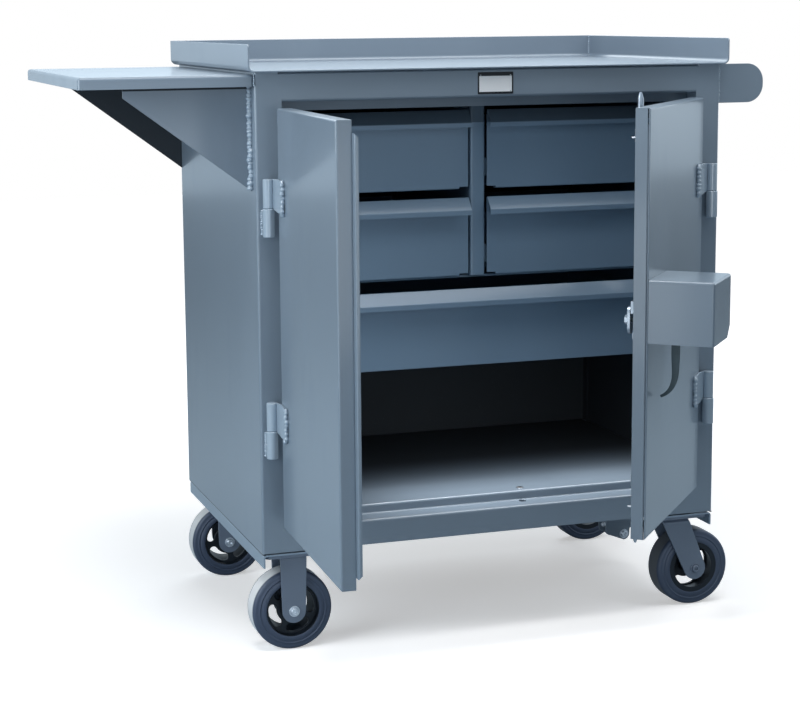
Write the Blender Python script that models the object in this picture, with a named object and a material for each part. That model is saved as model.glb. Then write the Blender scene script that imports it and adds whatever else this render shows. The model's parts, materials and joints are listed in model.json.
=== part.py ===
"""Mobile steel tool cabinet with two doors, five drawers, a worktop, a side shelf and 6 inch casters.

The cabinet frame has X to the right, Y to the back and Z up. Its X is zero in the middle of the
cabinet and its Y is zero on the front face. An empty then moves the whole cart so that the world
origin lies on the floor below the middle of its bounding box. Lengths are in metres.
"""

import math

import bmesh
import bpy
from mathutils import Matrix, Vector

for old in list(bpy.data.objects):
    bpy.data.objects.remove(old, do_unlink=True)

# Clearances that all pieces share
gap = 0.0003
overrun = 0.002
running_gap = 0.0004

# Cabinet shell
cabinet_width = 0.9144
cabinet_depth = 0.6096
side_height = 0.8761
body_sheet = 0.0019
bend = 0.0028
post_width = 0.0462
frame_depth = 0.045
sill_lift = 0.0023
sill_height = 0.049
floor_height = 0.0667
floor_flange = 0.03
header_height = 0.0522
header_flange = 0.028
band_height = 0.0182
back_flange = 0.025
angle_sheet = 0.0032
angle_inset = 0.002
angle_drop = 0.0213
angle_shelf = 0.116

# Worktop, side shelf and push handle
worktop_sheet = 0.0034
worktop_bend = 0.005
upstand_height = 0.0489
front_overhang = 0.0148
left_overhang = 0.0148
right_overhang = 0.0117
back_overhang = 0.0123
upstand_corner = 0.006
shelf_reach = 0.3108
shelf_sheet = 0.0026
shelf_drop = 0.0037
shelf_edge = 0.0214
gusset_sheet = 0.003
gusset_reach = 0.2285
gusset_setback = 0.027
gusset_tip = 0.0162
gusset_height = 0.186
handle_plate_sheet = 0.0048
handle_plate_inset = 0.005
handle_reach = 0.0953
handle_plate_height = 0.074
handle_corner = 0.026
handle_tube_radius = 0.0127
handle_tube_wall = 0.0021
handle_tube_reach = 0.058

# Doors and hinges
door_thickness = 0.02635
door_side_gap = 0.0023
door_middle_gap = 0.0118
door_height = 0.7552
door_bottom_gap = 0.0103
door_sheet = 0.0015
door_bend = 0.003
door_lip = 0.0125
stiffener_width = 0.046
stiffener_end_gap = 0.03
left_door_angle = math.radians(92.3)
right_door_angle = math.radians(49.5)
astragal_overlap = 0.014
astragal_foot = 0.011
astragal_height = 0.0068
astragal_end_gap = 0.0202
astragal_clip = 0.007
hinge_setback = 0.0192
hinge_lower_radius = 0.011
hinge_upper_radius = 0.0098
hinge_pin_radius = 0.005
hinge_lower_height = 0.0508
hinge_upper_height = 0.0525
hinge_cap = 0.006
leaf_sheet = 0.004
leaf_lap = 0.048
upper_hinge_rise = 0.5265
lower_hinge_rise = 0.1236

# Latch on the right door
latch_inset = 0.063
latch_rise = 0.3802
rod_radius = 0.0057
rod_standoff = 0.0022
rod_reach = 0.0236
rod_tip_length = 0.011
rod_tip_radius = 0.002
rod_travel = 0.016
rod_tab_thickness = 0.01
rod_tab_length = 0.022
rod_tab_width = 0.006
rod_hole_clearance = 0.0015
guide_rise_low = 0.0912
guide_drop_high = 0.051
guide_length = 0.022
guide_sheet = 0.002
guide_foot = 0.011
shaft_radius = 0.0045
cam_half_length = 0.025
cam_half_width = 0.011
cam_thickness = 0.005
cam_gap = 0.0015
nut_radius = 0.0085
nut_height = 0.006
lever_offset = 0.0345
lever_width = 0.015
lever_thickness = 0.0055
lever_above = 0.011
lever_drop = 0.112
lever_curl_run = 0.024
lever_curl_drop = 0.0205
lever_bend = 0.004
box_width = 0.133
box_depth = 0.115
box_below = 0.0303
box_above = 0.081
box_sheet = 0.0019
box_bend = 0.005
box_clip_run = 0.025
box_clip_rise = 0.0255

# Drawer bank
bank_channel_depth = 0.068
bank_front = 0.095
bank_depth = 0.435
bank_margin = 0.008
divider_half_width = 0.015
drawer_height = 0.152
drawer_sheet = 0.0012
drawer_bend = 0.001
drawer_top_drop = 0.0242
drawer_row_gap = 0.013
shelf_row_gap = 0.022
drawer_front_gap = 0.004
drawer_tray_height = 0.112
drawer_tray_lift = 0.004
drawer_lip_reach = 0.02
drawer_lip_drop = 0.026
drawer_lip_height = 0.009
drawer_front_foot = 0.012
drawer_notch_width = 0.018
drawer_notch_height = 0.0045
slide_space = 0.0135
slide_height = 0.035
slide_wall = 0.002
slide_lift = 0.018
slide_mouth_share = 0.6

# Casters
tyre_clearance = 0.0226
caster_edge = 0.0642
caster_inset = 0.055
plate_length = 0.1143
plate_width = 0.1016
plate_thickness = 0.0064
wheel_radius = 0.0762
wheel_width = 0.0508
tyre_corner = 0.007
tyre_wall = 0.017
rim_wall = 0.009
web_thickness = 0.012
hub_radius = 0.019
hub_length = 0.0575
slot_inner_radius = 0.028
slot_outer_radius = 0.043
slot_count = 4
slot_length_share = 0.42
wheel_turn_shares = {"front_left": 0, "rear_left": 0.125, "front_right": 0.125, "rear_right": 0.0625}
axle_radius = 0.0064
bolt_head_radius = 0.0105
bolt_head_height = 0.0065
fork_sheet = 0.0048
fork_bend = 0.005
fork_inner_width = 0.0586
rigid_leg_width = 0.051
leg_end_radius = 0.0225
swivel_trail = 0.0405
crown_back = 0.034
crown_front = 0.024
race_radius = 0.031
race_height = 0.004
kingpin_radius = 0.0075
kingpin_head_radius = 0.014
kingpin_head_height = 0.007

# Floor lock between the swivel casters
lock_plate_length = 0.084
lock_plate_width = 0.06
lock_plate_thickness = 0.005
lock_sheet = 0.004
lock_inner_width = 0.03
lock_top_half = 0.03
lock_pivot_reach = 0.011
lock_pivot_height = 0.081
lock_nose_radius = 0.013
lock_heel_reach = 0.02
lock_heel_height = 0.09
lock_heel_radius = 0.01
lock_foot_reach = 0.0115
lock_foot_height = 0.08
lock_stem_radius = 0.007
lock_pad_radius = 0.0125
lock_pad_height = 0.009
pad_corner_share = 0.25
lock_stem_top = 0.18
lock_guide_rise = 0.0095
lock_guide_height = 0.022
lock_guide_half = 0.0105
lock_bolt_radius = 0.005
pedal_width = 0.022
pedal_arm_thickness = 0.008
pedal_arm_reach = 0.034
pedal_arm_rise = 0.026
pedal_pad_length = 0.018
pedal_pad_width = 0.05
pedal_eye_radius = 0.0095

# How finely round forms are divided
bend_steps = 3
small_round = 16
rod_round = 14
wheel_round = 32
hub_round = 24

# Places worked out from the sizes above
caster_mount = fork_sheet + gap + race_height + plate_thickness
caster_height = wheel_radius * 2 + tyre_clearance + caster_mount
side_x = cabinet_width / 2
caster_x = side_x - caster_edge
opening_x = side_x - post_width
shell_bottom = caster_height + gap + angle_sheet + gap
shell_top = shell_bottom + side_height
inner_x = side_x - body_sheet - gap
inner_back = cabinet_depth - body_sheet - gap
bank_half_width = inner_x - bank_channel_depth
ledge_top = shell_bottom + sill_height
floor_top = shell_bottom + floor_height
header_ledge = shell_top - header_height
worktop_bottom = shell_top + gap
worktop_top = worktop_bottom + worktop_sheet
shelf_top = worktop_bottom - shelf_drop
door_bottom = ledge_top + door_bottom_gap
door_top = door_bottom + door_height
door_hinge_x = opening_x - door_side_gap
door_free_x = door_middle_gap / 2
hinge_x = side_x - hinge_setback
hinge_y = -(hinge_lower_radius + gap)
latch_x = door_free_x + latch_inset
latch_z = door_bottom + latch_rise
rod_y = door_thickness + rod_standoff + rod_radius
swivel_wheel_x = caster_x + swivel_trail
caster_rows = {"front": caster_inset, "rear": cabinet_depth - caster_inset}


# Outlines in a plane


def arc(centre, radius, start, stop, steps):
    """Points on a circle from one angle to another, both ends included."""
    points = []
    for step in range(steps + 1):
        angle = start + (stop - start) * step / steps
        points.append((centre[0] + radius * math.cos(angle), centre[1] + radius * math.sin(angle)))
    return points


def circle(centre, radius, steps):
    """A closed ring of points, with a corner straight below and above the centre."""
    return arc(centre, radius, -math.pi / 2, math.pi * 3 / 2, steps)[:-1]


def rectangle(low, high):
    return [(low[0], low[1]), (high[0], low[1]), (high[0], high[1]), (low[0], high[1])]


def bent_strip(path, sheet, inside, steps=bend_steps):
    """Closed outline of a bent sheet: path is its middle line, inside the radius within a bend."""
    points = [Vector(point) for point in path]
    left = []
    right = []
    for index, point in enumerate(points):
        if index in (0, len(points) - 1):
            other = points[1] if index == 0 else points[-2]
            along = (other - point if index == 0 else point - other).normalized()
            normal = Vector((-along.y, along.x))
            left.append(point + normal * (sheet / 2))
            right.append(point - normal * (sheet / 2))
            continue
        before = (point - points[index - 1]).normalized()
        after = (points[index + 1] - point).normalized()
        turn = math.atan2(before.x * after.y - before.y * after.x, before.dot(after))
        hand = math.copysign(1, turn)
        radius = inside + sheet / 2
        start = point - before * (radius * math.tan(abs(turn) / 2))
        towards = Vector((-before.y, before.x)) * hand
        centre = start + towards * radius
        for step in range(steps + 1):
            ray = -towards
            ray.rotate(Matrix.Rotation(turn * step / steps, 2))
            left.append(centre + ray * (radius - hand * sheet / 2))
            right.append(centre + ray * (radius + hand * sheet / 2))
    return [tuple(point) for point in left + right[::-1]]


def tangent_angle(centre, radius, point, hand):
    """Angle on a circle where the line from an outside point touches it."""
    run = point[0] - centre[0]
    rise = point[1] - centre[1]
    return math.atan2(rise, run) + hand * math.acos(radius / math.hypot(run, rise))


def leg_outline(top_left, top_right, centre, radius):
    """A leg that narrows from a straight top edge to a round end."""
    start = tangent_angle(centre, radius, top_left, 1)
    stop = tangent_angle(centre, radius, top_right, -1)
    if stop < start:
        stop += math.tau
    return [top_right, top_left] + arc(centre, radius, start, stop, small_round)


# Solids made from outlines


def extruded(outline, axis, start, stop):
    """A prism of an outline, in the plane across the axis, with X before Y before Z."""
    shape = bmesh.new()
    corners = []
    for first, second in outline:
        place = {"X": (start, first, second), "Y": (first, start, second), "Z": (first, second, start)}
        corners.append(shape.verts.new(place[axis]))
    face = shape.faces.new(corners)
    travel = Vector((axis == "X", axis == "Y", axis == "Z")) * (stop - start)
    grown = bmesh.ops.extrude_face_region(shape, geom=[face], use_keep_orig=True)
    moved = [item for item in grown["geom"] if isinstance(item, bmesh.types.BMVert)]
    bmesh.ops.translate(shape, verts=moved, vec=travel)
    bmesh.ops.recalc_face_normals(shape, faces=shape.faces)
    return shape


def block(low, high):
    return extruded(rectangle(low[:2], high[:2]), "Z", low[2], high[2])


def rod(centre, axis, start, stop, radius, steps=small_round):
    """A round bar along an axis; centre holds its two other coordinates in order."""
    return extruded(circle(centre, radius, steps), axis, start, stop)


def turned(profile, centre, axis, steps):
    """A profile of (radius, height) points turned about an axis through centre."""
    shape = bmesh.new()
    corners = [shape.verts.new((radius, 0, height)) for radius, height in profile]
    edges = [shape.edges.new((corners[i - 1], corners[i])) for i in range(1, len(corners))]
    if min(profile[0][0], profile[-1][0]) > 0:
        edges.append(shape.edges.new((corners[-1], corners[0])))
    geometry = corners + edges
    bmesh.ops.spin(shape, geom=geometry, cent=(0, 0, 0), axis=(0, 0, 1), angle=math.tau, steps=steps,
                   use_merge=True)
    bmesh.ops.remove_doubles(shape, verts=shape.verts, dist=gap / 100)
    bmesh.ops.recalc_face_normals(shape, faces=shape.faces)
    turn = {"X": Matrix.Rotation(math.pi / 2, 4, "Y"), "Y": Matrix.Rotation(-math.pi / 2, 4, "X"),
            "Z": Matrix.Identity(4)}
    shape.transform(Matrix.Translation(centre) @ turn[axis])
    return shape


def boolean(base, tool, operation):
    """Unite, cut or keep the common part of two closed shapes; both are used up."""
    pair = []
    for shape in (base, tool):
        mesh = bpy.data.meshes.new("shape")
        shape.to_mesh(mesh)
        shape.free()
        item = bpy.data.objects.new("shape", mesh)
        bpy.context.scene.collection.objects.link(item)
        pair.append(item)
    modifier = pair[0].modifiers.new("boolean", "BOOLEAN")
    modifier.operation = operation
    modifier.solver = "EXACT"
    modifier.object = pair[1]
    graph = bpy.context.evaluated_depsgraph_get()
    result = bmesh.new()
    result.from_mesh(pair[0].evaluated_get(graph).to_mesh())
    for item in pair:
        mesh = item.data
        bpy.data.objects.remove(item, do_unlink=True)
        bpy.data.meshes.remove(mesh)
    bmesh.ops.remove_doubles(result, verts=result.verts, dist=gap / 100)
    return result


def united(base, *others):
    for other in others:
        base = boolean(base, other, "UNION")
    return base


def cut(base, *tools):
    for tool in tools:
        base = boolean(base, tool, "DIFFERENCE")
    return base


def common(base, tool):
    return boolean(base, tool, "INTERSECT")


def mirrored(shape):
    """The same shape on the other side of the cabinet's middle plane."""
    shape.transform(Matrix.Diagonal((-1, 1, 1, 1)))
    bmesh.ops.reverse_faces(shape, faces=shape.faces)
    return shape


def on_side(shape, side):
    """Shapes are drawn for the right side; side is 1 there and -1 on the left."""
    return shape if side > 0 else mirrored(shape)


# Materials, with the colours of the photographed finish


def paint(name, colour, roughness, metallic=0.0):
    material = bpy.data.materials.new(name)
    material.use_nodes = True
    shader = material.node_tree.nodes["Principled BSDF"]
    shader.inputs["Base Color"].default_value = (*colour, 1)
    shader.inputs["Roughness"].default_value = roughness
    shader.inputs["Metallic"].default_value = metallic
    return material


body_grey = paint("body_grey", (0.19, 0.25, 0.31), 0.38)
drawer_grey = paint("drawer_grey", (0.17, 0.22, 0.28), 0.4)
zinc = paint("zinc", (0.6, 0.61, 0.62), 0.3, 0.9)
chrome = paint("chrome", (0.8, 0.8, 0.8), 0.12, 1.0)
dark_steel = paint("dark_steel", (0.06, 0.065, 0.07), 0.45, 0.3)
fork_grey = paint("fork_grey", (0.22, 0.26, 0.31), 0.4, 0.3)
tyre_rubber = paint("tyre_rubber", (0.045, 0.05, 0.06), 0.7)
hub_black = paint("hub_black", (0.02, 0.022, 0.025), 0.5)


# Bodies are empties on their joints' axes; pieces are drawn with the doors shut and hang on them

bodies = {}


def add_body(name, place, parent=None, turn=0.0):
    empty = bpy.data.objects.new(name + "_axis", None)
    bpy.context.scene.collection.objects.link(empty)
    base = bodies[parent][1] if parent else Vector((0, 0, 0))
    if parent:
        empty.parent = bodies[parent][0]
    empty.location = Vector(place) - base
    empty.rotation_euler = (0, 0, turn)
    bodies[name] = (empty, Vector(place))


def add_piece(name, shape, material, body="cart", smooth=True):
    """Name a finished shape, give it its material and hang it on its body."""
    empty, place = bodies[body]
    mesh = bpy.data.meshes.new(name)
    shape.transform(Matrix.Translation(-place))
    shape.to_mesh(mesh)
    shape.free()
    if smooth:
        mesh.shade_smooth()
        mesh.set_sharp_from_angle(angle=math.radians(35))
    mesh.materials.append(material)
    piece = bpy.data.objects.new(name, mesh)
    bpy.context.scene.collection.objects.link(piece)
    piece.parent = empty
    return piece


def swung_y(reach, depth):
    """How far forward a point of the left door lies at rest, from its place with the door shut."""
    return hinge_y - reach * math.sin(left_door_angle) + (depth - hinge_y) * math.cos(left_door_angle)


# The middle of the bounding box is set by the side shelf, handle, left door and worktop
astragal_tip = door_free_x - astragal_overlap
door_depths = (door_thickness + gap, door_thickness + gap + astragal_height)
front_reach = min(swung_y(hinge_x - astragal_tip, depth) for depth in door_depths)
middle_x = (handle_reach - shelf_reach) / 2
middle_y = (front_reach + cabinet_depth + back_overhang) / 2

add_body("cart", (0, 0, 0))
bodies["cart"][0].location = (-middle_x, -middle_y, 0)
add_body("left_door", (-hinge_x, hinge_y, door_bottom), "cart", -left_door_angle)
add_body("right_door", (hinge_x, hinge_y, door_bottom), "cart", right_door_angle)
add_body("door_handle", (latch_x, 0, latch_z), "right_door")
add_body("upper_rod", (latch_x, rod_y, latch_z), "right_door")
add_body("lower_rod", (latch_x, rod_y, latch_z), "right_door")
add_body("floor_lock_pedal", (caster_x + lock_pivot_reach, cabinet_depth / 2, lock_pivot_height), "cart")
add_body("floor_lock_foot", (caster_x - lock_foot_reach, cabinet_depth / 2, lock_foot_height), "cart")
for row, row_y in caster_rows.items():
    add_body(f"{row}_swivel", (caster_x, row_y, caster_height), "cart")
    add_body(f"{row}_right_wheel", (swivel_wheel_x, row_y, wheel_radius), f"{row}_swivel")
    add_body(f"{row}_left_wheel", (-caster_x, row_y, wheel_radius), "cart")


# Shell of the cabinet


def side_panel(side):
    """Side wall, rounded front post and its return, bent from one sheet."""
    wall_x = side_x - body_sheet / 2
    return_x = opening_x + body_sheet / 2
    path = [(wall_x, cabinet_depth), (wall_x, body_sheet / 2), (return_x, body_sheet / 2),
            (return_x, frame_depth)]
    outline = bent_strip(path, body_sheet, bend)
    return on_side(extruded(outline, "Z", shell_bottom, shell_top), side)


def back_panel():
    """Back wall with a flange along each side wall."""
    flange_x = inner_x - body_sheet / 2
    back_y = cabinet_depth - body_sheet / 2
    path = [(-flange_x, cabinet_depth - back_flange), (-flange_x, back_y), (flange_x, back_y),
            (flange_x, cabinet_depth - back_flange)]
    return extruded(bent_strip(path, body_sheet, bend), "Z", shell_bottom, shell_top)


def header_rail():
    """Z-section over the doors: face, ledge and stop band, with a hole for the upper rod."""
    half = body_sheet / 2
    path = [(header_flange, shell_top - half), (half, shell_top - half), (half, header_ledge + half),
            (frame_depth + half, header_ledge + half), (frame_depth + half, header_ledge - band_height)]
    rail = extruded(bent_strip(path, body_sheet, bend), "X", -(opening_x - gap), opening_x - gap)
    hole = rod((latch_x, rod_y), "Z", header_ledge - overrun, header_ledge + body_sheet + overrun,
               rod_radius + rod_hole_clearance)
    return cut(rail, hole)


def shelf_floor():
    """Sill, ledge, riser and floor of one sheet, flanged at the sides, with the lower rod's hole."""
    half = body_sheet / 2
    face_bottom = shell_bottom + sill_lift
    path = [(header_flange, face_bottom + half), (half, face_bottom + half), (half, ledge_top - half),
            (frame_depth + half, ledge_top - half), (frame_depth + half, floor_top - half),
            (inner_back, floor_top - half)]
    floor = extruded(bent_strip(path, body_sheet, bend), "X", -inner_x, inner_x)
    front = frame_depth + body_sheet + bend + overrun
    back = cabinet_depth - back_flange - gap
    low = shell_bottom - overrun
    high = floor_top + overrun
    for hand in (-1, 1):
        outside = hand * (inner_x + overrun)
        flange = sorted((hand * (inner_x - gap), hand * (inner_x - gap - body_sheet)))
        floor = united(floor, block((flange[0], front + overrun, floor_top - floor_flange),
                                    (flange[1], back - gap, floor_top - half)))
        post_side = sorted((hand * (opening_x - gap), outside))
        back_side = sorted((hand * (inner_x - body_sheet - bend - gap), outside))
        floor = cut(floor, block((post_side[0], -overrun, low), (post_side[1], front, high)),
                    block((back_side[0], back, low), (back_side[1], cabinet_depth, high)))
    hole = rod((latch_x, rod_y), "Z", ledge_top - body_sheet - overrun, ledge_top + overrun,
               rod_radius + rod_hole_clearance)
    return cut(floor, hole)


def base_angle(side):
    """Angle under a side wall that carries the casters, with its outer leg turned down."""
    leg_x = side_x - angle_inset - angle_sheet / 2
    shelf_z = caster_height + gap + angle_sheet / 2
    path = [(leg_x, caster_height - angle_drop), (leg_x, shelf_z),
            (side_x - angle_inset - angle_shelf, shelf_z)]
    angle = extruded(bent_strip(path, angle_sheet, bend), "Y", gap, cabinet_depth - gap)
    return on_side(angle, side)


def rounded_pan(low, high, radius):
    """A block whose left, right and back edges are rounded where they meet its bottom."""
    shape = block(low, high)
    edges = [edge for edge in shape.edges if all(v.co.z < low[2] + gap for v in edge.verts)
             and not all(v.co.y < low[1] + gap for v in edge.verts)]
    bmesh.ops.bevel(shape, geom=edges, offset=radius, segments=bend_steps, profile=0.5, affect="EDGES",
                    material=-1)
    return shape


def worktop():
    """Bent pan with upstands on the left, right and back, and rounded front ends."""
    left = -(side_x + left_overhang)
    right = side_x + right_overhang
    front = -front_overhang
    back = cabinet_depth + back_overhang
    rim = worktop_bottom + upstand_height
    pan = rounded_pan((left, front, worktop_bottom), (right, back, rim), worktop_bend + worktop_sheet)
    inside = rounded_pan((left + worktop_sheet, front - overrun, worktop_top),
                         (right - worktop_sheet, back - worktop_sheet, rim + overrun), worktop_bend)
    corner = (front + upstand_corner, rim - upstand_corner)
    waste = [(front - overrun, rim + overrun), (front - overrun, corner[1])]
    waste += arc(corner, upstand_corner, math.pi, math.pi / 2, bend_steps + 1)
    waste.append((corner[0], rim + overrun))
    return cut(pan, inside, extruded(waste, "X", left - overrun, right + overrun))


def side_shelf():
    """Fixed shelf on the left wall: a shallow pan with its edges turned down."""
    left = -(side_x + shelf_reach)
    right = -(side_x + gap)
    low = shelf_top - shelf_edge
    pan = block((left, gap, low), (right, cabinet_depth - gap, shelf_top))
    edges = [edge for edge in pan.edges if max(v.co.z for v in edge.verts) > shelf_top - gap / 2
             and not all(v.co.x > right - gap / 2 for v in edge.verts)]
    bmesh.ops.bevel(pan, geom=edges, offset=bend, segments=bend_steps, profile=0.5, affect="EDGES",
                    material=-1)
    inside = block((left + shelf_sheet, gap + shelf_sheet, low - overrun),
                   (right - shelf_sheet, cabinet_depth - gap - shelf_sheet, shelf_top - shelf_sheet))
    return cut(pan, inside)


def shelf_gusset(near_y):
    """Flat corner plate that holds the side shelf up, cut round the shelf's edge on the wall."""
    inner = -(side_x + gap)
    outer = inner - gusset_reach
    edge = shelf_top - shelf_edge - gap
    top = shelf_top - shelf_sheet - gap
    notch = inner - shelf_sheet - gap * 2
    outline = [(inner, edge), (notch, edge), (notch, top), (outer, top), (outer, edge - gusset_tip),
               (inner, edge - gusset_height)]
    return extruded(outline, "Y", near_y, near_y + gusset_sheet)


def handle_plate(near_y):
    """End plate of the push handle, rounded at its outer corners."""
    inner = side_x + gap
    outer = side_x + handle_reach
    low = shell_top - handle_plate_height
    radius = handle_corner
    outline = [(inner, low)]
    outline += arc((outer - radius, low + radius), radius, -math.pi / 2, 0, bend_steps * 2)
    outline += arc((outer - radius, shell_top - radius), radius, 0, math.pi / 2, bend_steps * 2)
    outline.append((inner, shell_top))
    return extruded(outline, "Y", near_y, near_y + handle_plate_sheet)


def handle_tube(start, stop):
    """Round tube that the hands hold, open at its ends against the plates."""
    centre = (side_x + handle_tube_reach, shell_top - handle_plate_height / 2)
    tube = rod(centre, "Y", start, stop, handle_tube_radius, wheel_round)
    bore_radius = handle_tube_radius - handle_tube_wall
    bore = rod(centre, "Y", start - overrun, stop + overrun, bore_radius, wheel_round)
    return cut(tube, bore)


for side, label in ((-1, "left"), (1, "right")):
    add_piece(f"{label}_side_panel", side_panel(side), body_grey)
    add_piece(f"base_angle_{label}", base_angle(side), body_grey)
add_piece("back_panel", back_panel(), body_grey)
add_piece("header_rail", header_rail(), body_grey)
add_piece("shelf_floor", shelf_floor(), body_grey)
add_piece("worktop", worktop(), body_grey)
add_piece("side_shelf", side_shelf(), body_grey)
rear_gusset_y = cabinet_depth - shelf_sheet - gusset_sheet - gap * 2
add_piece("shelf_gusset_front", shelf_gusset(gusset_setback), body_grey)
add_piece("shelf_gusset_rear", shelf_gusset(rear_gusset_y), body_grey)
front_plate_y = handle_plate_inset
rear_plate_y = cabinet_depth - handle_plate_inset - handle_plate_sheet
add_piece("handle_plate_front", handle_plate(front_plate_y), body_grey)
add_piece("handle_plate_rear", handle_plate(rear_plate_y), body_grey)
tube_start = front_plate_y + handle_plate_sheet + gap
add_piece("handle_tube", handle_tube(tube_start, rear_plate_y - gap), body_grey)


# Doors: shallow pans with returned edges, each stiffened by a channel near its free edge


def door_pan(side, with_latch):
    """Pan of one door, drawn for the right side and shut."""
    low = Vector((door_free_x, 0, door_bottom))
    high = Vector((door_hinge_x, door_thickness, door_top))
    pan = block(low, high)
    level = [edge for edge in pan.edges if edge.verts[0].co.z == edge.verts[1].co.z]
    running_in = [edge for edge in level if max(v.co.y for v in edge.verts) > gap]
    outer_edges = [edge for edge in pan.edges if min(v.co.y for v in edge.verts) < gap
                   and edge not in running_in]
    bmesh.ops.bevel(pan, geom=outer_edges, offset=door_bend, segments=bend_steps, profile=0.5,
                    affect="EDGES", material=-1)
    wall = Vector((door_sheet, door_sheet, door_sheet))
    inside = block(low + wall, high - wall)
    lip = Vector((door_lip, 0, door_lip))
    mouth_low = Vector((low.x, door_thickness - door_sheet * 2, low.z)) + lip
    mouth_high = Vector((high.x, door_thickness + overrun, high.z)) - lip
    pan = cut(pan, united(inside, block(mouth_low, mouth_high)))
    half = door_sheet / 2
    left = latch_x - stiffener_width / 2
    right = latch_x + stiffener_width / 2
    path = [(left, half), (left, door_thickness - half), (right, door_thickness - half), (right, half)]
    channel = extruded(bent_strip(path, door_sheet, door_sheet), "Z", door_bottom + stiffener_end_gap,
                       door_top - stiffener_end_gap)
    pan = united(pan, channel)
    if with_latch:
        hole = rod((latch_x, latch_z), "Y", -overrun, door_thickness + overrun,
                   shaft_radius + running_gap)
        pan = cut(pan, hole)
    return on_side(pan, side)


def astragal():
    """Angle on the left door that closes the gap between the doors, with clipped corners."""
    half = door_sheet / 2
    root_x = door_free_x + astragal_foot
    near = door_thickness + gap + half
    path = [(root_x, near), (astragal_tip + half, near),
            (astragal_tip + half, near - half + astragal_height)]
    low = door_bottom + astragal_end_gap
    high = door_top - astragal_end_gap
    strip = extruded(bent_strip(path, door_sheet, door_sheet), "Z", low, high)
    far = near - half + astragal_height
    outside = astragal_tip - overrun
    inside = root_x + overrun
    for end, hand in ((low, 1), (high, -1)):
        clip = [(far + overrun, end - hand * overrun), (far + overrun, end + hand * astragal_clip),
                (far, end + hand * astragal_clip), (far - astragal_clip, end),
                (far - astragal_clip, end - hand * overrun)]
        strip = cut(strip, extruded(clip, "X", outside, inside))
    return mirrored(strip)


def hinge_lower(side, base_z):
    """Barrel welded to the post, with its pin standing up."""
    top = base_z + hinge_lower_height
    pin_top = top + hinge_upper_height - hinge_cap - gap
    profile = [(0, base_z), (hinge_lower_radius, base_z), (hinge_lower_radius, top),
               (hinge_pin_radius, top), (hinge_pin_radius, pin_top), (0, pin_top)]
    return on_side(turned(profile, (hinge_x, hinge_y, 0), "Z", small_round), side)


def hinge_upper(side, base_z):
    """Lift-off barrel with a blind bore, and the leaf that laps the door's outer face."""
    low = base_z + hinge_lower_height + gap
    high = base_z + hinge_lower_height + hinge_upper_height
    bore = hinge_pin_radius + running_gap
    profile = [(0, high - hinge_cap), (bore, high - hinge_cap), (bore, low), (hinge_upper_radius, low),
               (hinge_upper_radius, high), (0, high)]
    barrel = turned(profile, (hinge_x, hinge_y, 0), "Z", small_round)
    leaf = block((door_hinge_x - leaf_lap, -(gap + leaf_sheet), low), (hinge_x, -gap, high))
    return on_side(united(barrel, leaf), side)


def rod_guide(centre_z):
    """Strap over a latch rod, with a foot on each side of it on the stiffening channel."""
    half = guide_sheet / 2
    reach = rod_radius + running_gap + half
    foot_y = door_thickness + gap + half
    left = latch_x - reach
    right = latch_x + reach
    crown = rod_y + reach
    path = [(left - guide_foot, foot_y), (left, foot_y), (left, crown), (right, crown), (right, foot_y),
            (right + guide_foot, foot_y)]
    return extruded(bent_strip(path, guide_sheet, half), "Z", centre_z - guide_length / 2,
                    centre_z + guide_length / 2)


def latch_rod(end_z, hand):
    """Locking rod with a tapered tip and a flat tab beside the shaft; hand is 1 upwards."""
    start = latch_z + hand * (shaft_radius + rod_travel + cam_gap * 2)
    profile = [(0, start), (rod_radius, start), (rod_radius, end_z - hand * rod_tip_length),
               (rod_tip_radius, end_z), (0, end_z)]
    bar = turned(profile, (latch_x, rod_y, 0), "Z", rod_round)
    near = latch_x - hand * (shaft_radius + cam_gap)
    far = near - hand * rod_tab_width
    reach = start + hand * rod_tab_length / 2
    tip = reach - hand * rod_tab_length
    outline = [(latch_x, start), (latch_x, reach), (far, reach), (far, tip), (near, tip), (near, start)]
    return united(bar, extruded(outline, "Y", rod_y, rod_y + rod_tab_thickness))


def lever():
    """Flat handle bar with its curled end, and the shaft that passes through the door."""
    path = [(-lever_offset, latch_z + lever_above), (-lever_offset, latch_z - lever_drop),
            (-lever_offset + lever_curl_run, latch_z - lever_drop - lever_curl_drop)]
    bar = extruded(bent_strip(path, lever_width, lever_bend), "X", latch_x - lever_thickness / 2,
                   latch_x + lever_thickness / 2)
    boss = rod((latch_x, latch_z), "Y", -lever_offset, -gap, shaft_radius * 2)
    shaft_end = rod_y + rod_tab_thickness + cam_gap + cam_thickness + nut_height
    shaft = rod((latch_x, latch_z), "Y", -lever_offset, shaft_end, shaft_radius)
    return united(bar, boss, shaft)


def latch_cam():
    """Two-armed cam and its nut, bored to fit the shaft."""
    cam_face = rod_y + rod_tab_thickness + cam_gap
    arm = cam_half_length - cam_half_width
    outline = arc((latch_x, latch_z + arm), cam_half_width, 0, math.pi, small_round // 2)
    outline += arc((latch_x, latch_z - arm), cam_half_width, math.pi, math.tau, small_round // 2)
    nut_end = cam_face + cam_thickness + nut_height
    cam = extruded(outline, "Y", cam_face, cam_face + cam_thickness)
    nut = rod((latch_x, latch_z), "Y", cam_face + cam_thickness / 2, nut_end, nut_radius, 6)
    bore = rod((latch_x, latch_z), "Y", cam_face - overrun, nut_end + overrun, shaft_radius + gap)
    return cut(united(cam, nut), bore)


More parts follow.
